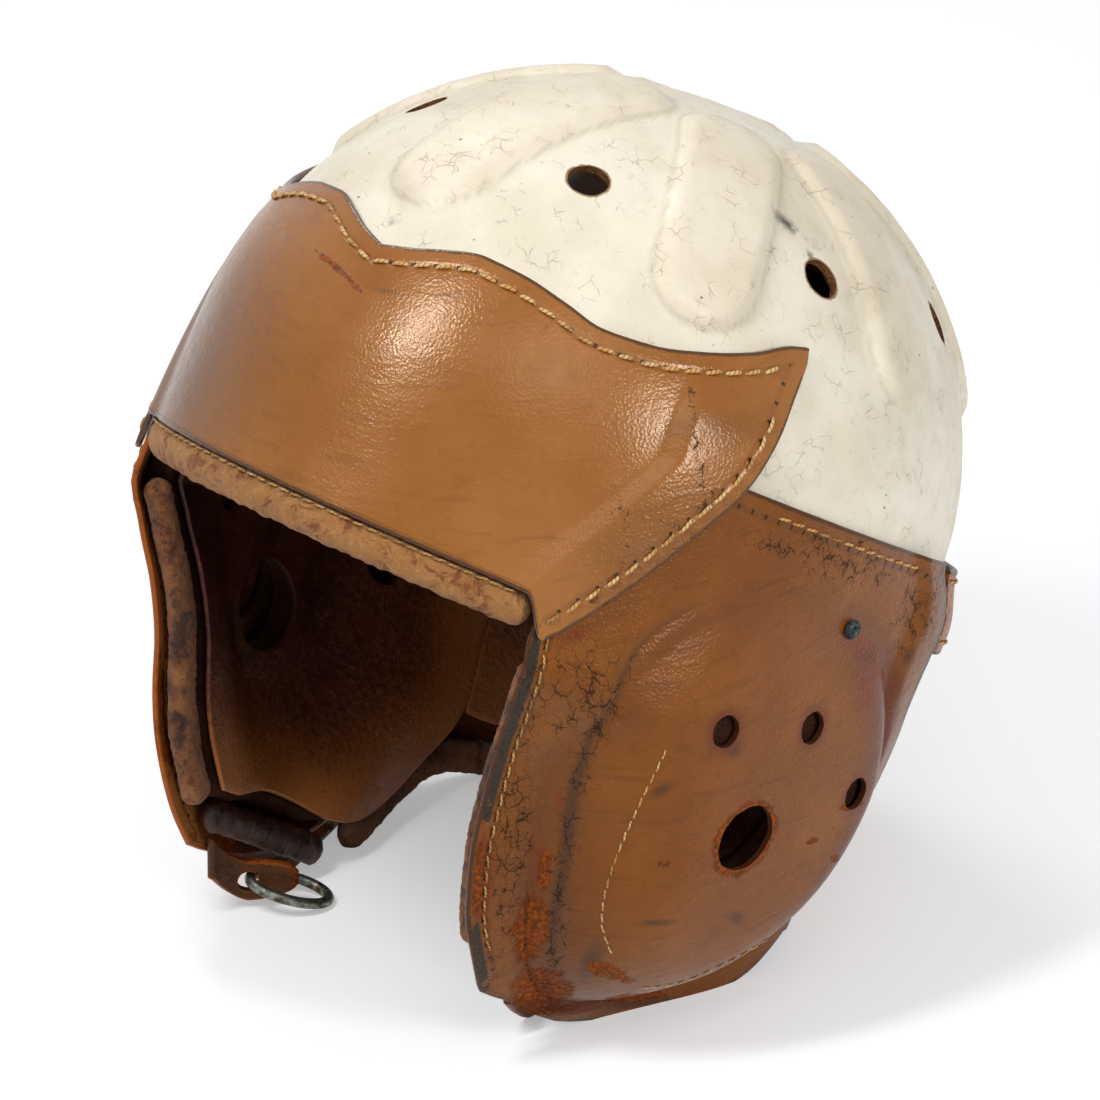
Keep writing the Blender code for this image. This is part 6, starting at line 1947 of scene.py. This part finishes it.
@dataclass(frozen=True)
class Hardware:
    """The ear rivets, the chin tabs and the ring that hangs in the right one."""

    rivet_back: float = 0.019
    rivet_drop: float = 0.016
    rivet_head: float = 0.0062
    rivet_rise: float = 0.0012
    rivet_shank: float = 0.0030
    rivet_play: float = 0.0005
    burr_thickness: float = 0.0011
    tab_outs: tuple = (0.0510, 0.0559)
    tab_fronts: tuple = (0.0660, 0.0775)
    tab_heights: tuple = (0.0076, 0.0093)
    tab_turns: tuple = (4.0, 38.0)
    tab_leather: float = 0.0026
    tab_half_width: float = 0.0060
    tab_hole: float = 0.0066
    tab_tip: float = 0.0145
    tab_root_front: float = 0.0120
    tab_root_out: float = 0.0034
    tab_root_rise: float = 0.0105
    tab_rise_power: float = 1.4
    tab_blunt_share: float = 0.88
    ring_length: float = 0.028
    ring_width: float = 0.019
    ring_wire: float = 0.0033
    ring_droop: float = 18.0
    ring_seat: float = 0.0006
    # share of the head's radius and of its rise, from the hollow middle out
    rivet_dome: tuple = (
        (0.05, 0.15), (0.30, 0.18), (0.42, 0.75), (0.55, 1.0), (0.75, 0.92), (0.92, 0.55), (1.0, 0.0),
    )

    def make(self) -> None:
        """Builds both rivets, both tabs and the ring."""
        for side, suffix in SIDES:
            self.make_rivet(side, suffix)
            self.make_tab(side, suffix)
        self.make_ring(-1.0)

    def make_rivet(self, side: float, suffix: str) -> None:
        """A tubular rivet with a hollow domed head, and the burr on the lining."""
        drop = np.array(-self.rivet_drop)
        azimuth = FORM.azimuth_at(np.array(self.rivet_back), drop)
        face = float(FORM.skin(azimuth, drop, LAYER.gap + LAYER.leather, Lap.DOMED)[..., 0]) + LAYER.soft_gap
        lining = float(FORM.skin(azimuth, drop, -LAYER.lining_depth() - LAYER.lining, Lap.HOLLOW)[..., 0])
        head, shank = 0.5 * self.rivet_head, 0.5 * self.rivet_shank
        deep = lining - 2.0 * LAYER.soft_gap - self.burr_thickness - self.rivet_play
        profile = [(radius * head, face + rise * self.rivet_rise) for radius, rise in self.rivet_dome]
        profile += [(shank, face), (shank, deep), (0.1 * shank, deep)]
        self.turn_piece("rivet" + suffix, profile, side, ("ear_rivet" + suffix,), False)
        inside, reach = lining - LAYER.soft_gap, shank + 0.5 * self.rivet_play
        low = inside - self.burr_thickness
        burr = [(reach, inside), (head, inside), (1.03 * head, 0.5 * (inside + low)), (head, low), (reach, low)]
        self.turn_piece("burr" + suffix, burr, side, ("rivet_burr" + suffix,), True)

    def turn_piece(self, name: str, profile: list, side: float, replaces: tuple, ring: bool) -> None:
        """Turns a profile of radius and reach along X round a line at the rivet's place."""
        turn = full_turn(32)
        radius, reach = (np.array(column)[:, None] for column in zip(*profile))
        x = np.broadcast_to(side * reach, (len(profile), 32))
        rings = np.stack([x, self.rivet_back + radius * np.cos(turn), -self.rivet_drop + radius * np.sin(turn)], -1)
        if side < 0.0:
            rings = rings[:, ::-1]
        made = tube(name, FORM.stand(rings), {}, closed=ring)
        made.data.set_sharp_from_angle(angle=math.radians(50.0))
        dress(made, RIVET_STEEL, "steel", replaces)

    def table_frame(self, side: float) -> Matrix:
        """A chin tab's place on the table: X along the tab, Y across it, Z up."""
        flap = 0 if side > 0.0 else 1
        turn = math.radians(self.tab_turns[flap])
        inward = Vector((-side * math.sin(turn), math.cos(turn), 0.0))
        upward = Vector((0.0, 0.0, 1.0))
        place = Matrix.Identity(4)
        place.col[0][:3] = inward
        place.col[1][:3] = upward.cross(inward)
        place.col[2][:3] = upward
        place.col[3][:3] = Vector((side * self.tab_outs[flap], -self.tab_fronts[flap], self.tab_heights[flap]))
        return place

    def make_tab(self, side: float, suffix: str) -> None:
        """A leather tab that leads on from the flap, turns inward and ends ragged past its hole."""
        place = np.array(self.table_frame(side))
        spot = place[:3, 3]
        lean = -side * self.tab_root_front * place[0, 0] / place[1, 0]
        back = np.linspace(1.0, 0.0, 36)[:-1]
        out = lean * back - (lean - self.tab_root_out) * back**2
        root = np.stack([side * out, -self.tab_root_front * back, self.tab_root_rise * back**self.tab_rise_power], -1)
        share = np.linspace(0.0, 1.0, 30)
        path = np.concatenate([spot + root, spot + self.tab_tip * share[:, None] * place[:3, 0]])
        share = np.concatenate([np.zeros(35), share])
        ahead = unit(np.gradient(path, axis=0) * np.array([1.0, 1.0, 0.0]))
        through = np.cross([0.0, 0.0, 1.0], ahead) * 0.5 * self.tab_leather
        half = self.tab_half_width * np.sqrt(1.0 - self.tab_blunt_share * share**2)
        half = half * (1.0 + 0.03 * np.sin(9.0 * share) * share)
        up = np.linspace(-1.0, 1.0, 17)[:, None] * np.array([0.0, 0.0, 1.0])
        body = path[:, None] + half[:, None, None] * up
        outer, inner = body + through[:, None], body - through[:, None]
        end = np.broadcast_to(smooth_step((share - 0.75) / 0.25)[:, None], outer.shape[:-1])
        past = np.maximum(np.linalg.norm(body - spot, axis=-1) / (0.5 * self.tab_hole) - 1.0, 0.0)
        rim = np.maximum(np.exp(-((past / 0.35) ** 2)), np.abs(up[:, 2]) ** 12)
        fields = {"Seam": pairs(0.0, 0.5, outer), "Wear": pairs(end, 0.35, outer),
                  "Tone": pairs(0.0, 0.0, outer), "Edge": pairs(0.05, rim, outer)}
        made = sheet("tab" + suffix, self.unstand(outer), self.unstand(inner), fields)
        way = self.unstand_way(place[:3, 1])
        bore(made, [(self.unstand(spot), way, 0.5 * self.tab_hole, 0.010)], FLESH)
        dress(made, TAB_LEATHER, "side_leather", ("chin_tab" + suffix,))

    @staticmethod
    def unstand(points: Array) -> Array:
        """Standing points as worn-frame ones, so that the shared builders can stand them again."""
        lean = math.radians(FORM.lean_back)
        y, z = points[..., 1] - FORM.stand_back, points[..., 2] - FORM.floor_drop
        return np.stack([points[..., 0], y * math.cos(lean) - z * math.sin(lean),
                         y * math.sin(lean) + z * math.cos(lean)], axis=-1)

    def unstand_way(self, way: Array) -> Array:
        """A standing way as a worn-frame one."""
        return self.unstand(way) - self.unstand(np.zeros(3))

    def make_ring(self, side: float) -> None:
        """The oval wire ring, which hangs in the tab's hole and swings."""
        place = self.table_frame(side) @ Matrix.Translation((self.ring_seat, 0.0, 0.0))
        place = np.array(place @ Matrix.Rotation(math.radians(self.ring_droop), 4, "Y"))
        half_length = 0.5 * (self.ring_length - self.ring_wire)
        half_width = 0.5 * (self.ring_width - self.ring_wire)
        turn = full_turn(120)
        centre = np.stack([half_length * (1.0 + np.cos(turn)), half_width * np.sin(turn), 0.0 * turn], axis=-1)
        path = np.stack([-half_length * np.sin(turn), half_width * np.cos(turn), 0.0 * turn], axis=-1)
        out = np.cross(unit(path), np.array([0.0, 0.0, 1.0]))
        around = full_turn(20)[None, :, None]
        rings = centre[:, None] + 0.5 * self.ring_wire * (
            np.cos(around) * out[:, None] + np.sin(around) * np.array([0.0, 0.0, 1.0]))
        rings = rings @ place[:3, :3].T + place[:3, 3]
        dress(tube("ring_wire", rings, {}, closed=True), STEEL, "steel", ("chin_ring_right",), body="ring")


@dataclass(frozen=True)
class Studio:
    """A white table under four soft boxes: over the far side, over the brow, low at the near side, by the camera."""

    world_strength: float = 0.28
    floor_size: float = 6.0
    floor_glow: float = 0.36
    boxes: tuple = (
        # name, azimuth, elevation, distance, width, height, power
        ("crown_box", -112.0, 50.0, 1.3, 0.40, 0.40, 3.6),
        ("brow_box", -8.0, 54.0, 1.2, 0.13, 0.50, 7.0),
        ("side_box", 92.0, 22.0, 1.3, 0.20, 0.44, 5.8),
        ("camera_box", 60.0, 50.0, 1.6, 0.70, 0.70, 2.8),
    )

    def make(self) -> None:
        """Sets the view, world, floor and lamps."""
        bpy.context.scene.view_settings.view_transform = "Standard"
        self.make_world()
        self.make_floor()
        for name, azimuth, elevation, distance, width, height, power in self.boxes:
            a, e = math.radians(azimuth), math.radians(elevation)
            way = Vector((math.sin(a) * math.cos(e), -math.cos(a) * math.cos(e), math.sin(e)))
            lamp = bpy.data.lights.new(name, "AREA")
            lamp.shape = "RECTANGLE"
            lamp.size = width
            lamp.size_y = height
            lamp.energy = power
            made = add_object(name, lamp)
            made.location = Vector((0.0, 0.0, 0.13)) + distance * way
            made.rotation_euler = way.to_track_quat("Z", "Y").to_euler()

    def make_world(self) -> None:
        """Pale grey light all round, which the camera and mirrors see as white."""
        world = bpy.data.worlds.new("studio")
        world.use_nodes = True
        bpy.context.scene.world = world
        tree = world.node_tree
        seen = self.seen(tree)
        strength = node(tree, "MapRange", {0: seen, 3: self.world_strength, 4: 1.0})
        ground = tree.nodes["Background"]
        ground.inputs[0].default_value = (1.0, 1.0, 1.0, 1.0)
        tree.links.new(strength, ground.inputs[1])

    def seen(self, tree: bpy.types.NodeTree) -> Socket:
        """1 for the rays that should meet white: the camera's, mirrors' and glass's."""
        path = tree.nodes.new("ShaderNodeLightPath")
        seen = 0.0
        for kind in ("Camera", "Glossy", "Transmission"):
            seen = node(tree, "Math", {0: seen, 1: path.outputs[f"Is {kind} Ray"]}, **MOST)
        return seen

    def make_floor(self) -> None:
        """A white floor whose lit part is pure white to the camera and which keeps the shadow."""
        half = 0.5 * self.floor_size
        mesh = bpy.data.meshes.new("floor")
        corners = [(x * half, y * half, 0.0) for x, y in ((-1, -1), (1, -1), (1, 1), (-1, 1))]
        mesh.from_pydata(corners, [], [(0, 1, 2, 3)])
        floor = add_object("floor", mesh)
        made = bpy.data.materials.new("white_table")
        made.use_nodes = True
        tree = made.node_tree
        shader = tree.nodes["Principled BSDF"]
        shader.inputs["Base Color"].default_value = linear("#E9EBEE")
        shader.inputs["Roughness"].default_value = 0.7
        shader.inputs["Emission Color"].default_value = (1.0, 1.0, 1.0, 1.0)
        glow = node(tree, "MapRange", {0: self.seen(tree), 3: 0.0, 4: self.floor_glow})
        tree.links.new(glow, shader.inputs["Emission Strength"])
        mesh.materials.append(made)


def main() -> None:
    """Builds the camera, the helmet's pieces in order, and the studio."""
    logging.basicConfig(level=logging.INFO, format="%(name)s %(message)s")
    PHOTO.make_camera()
    Crown().make()
    FrontPanel().make()
    for side, suffix in SIDES:
        SidePanel(side, suffix).make()
    Nape().make()
    Brow().make()
    Bindings().make()
    Suspension().make()
    Hardware().make()
    Studio().make()


if __name__ == "__main__":
    main()
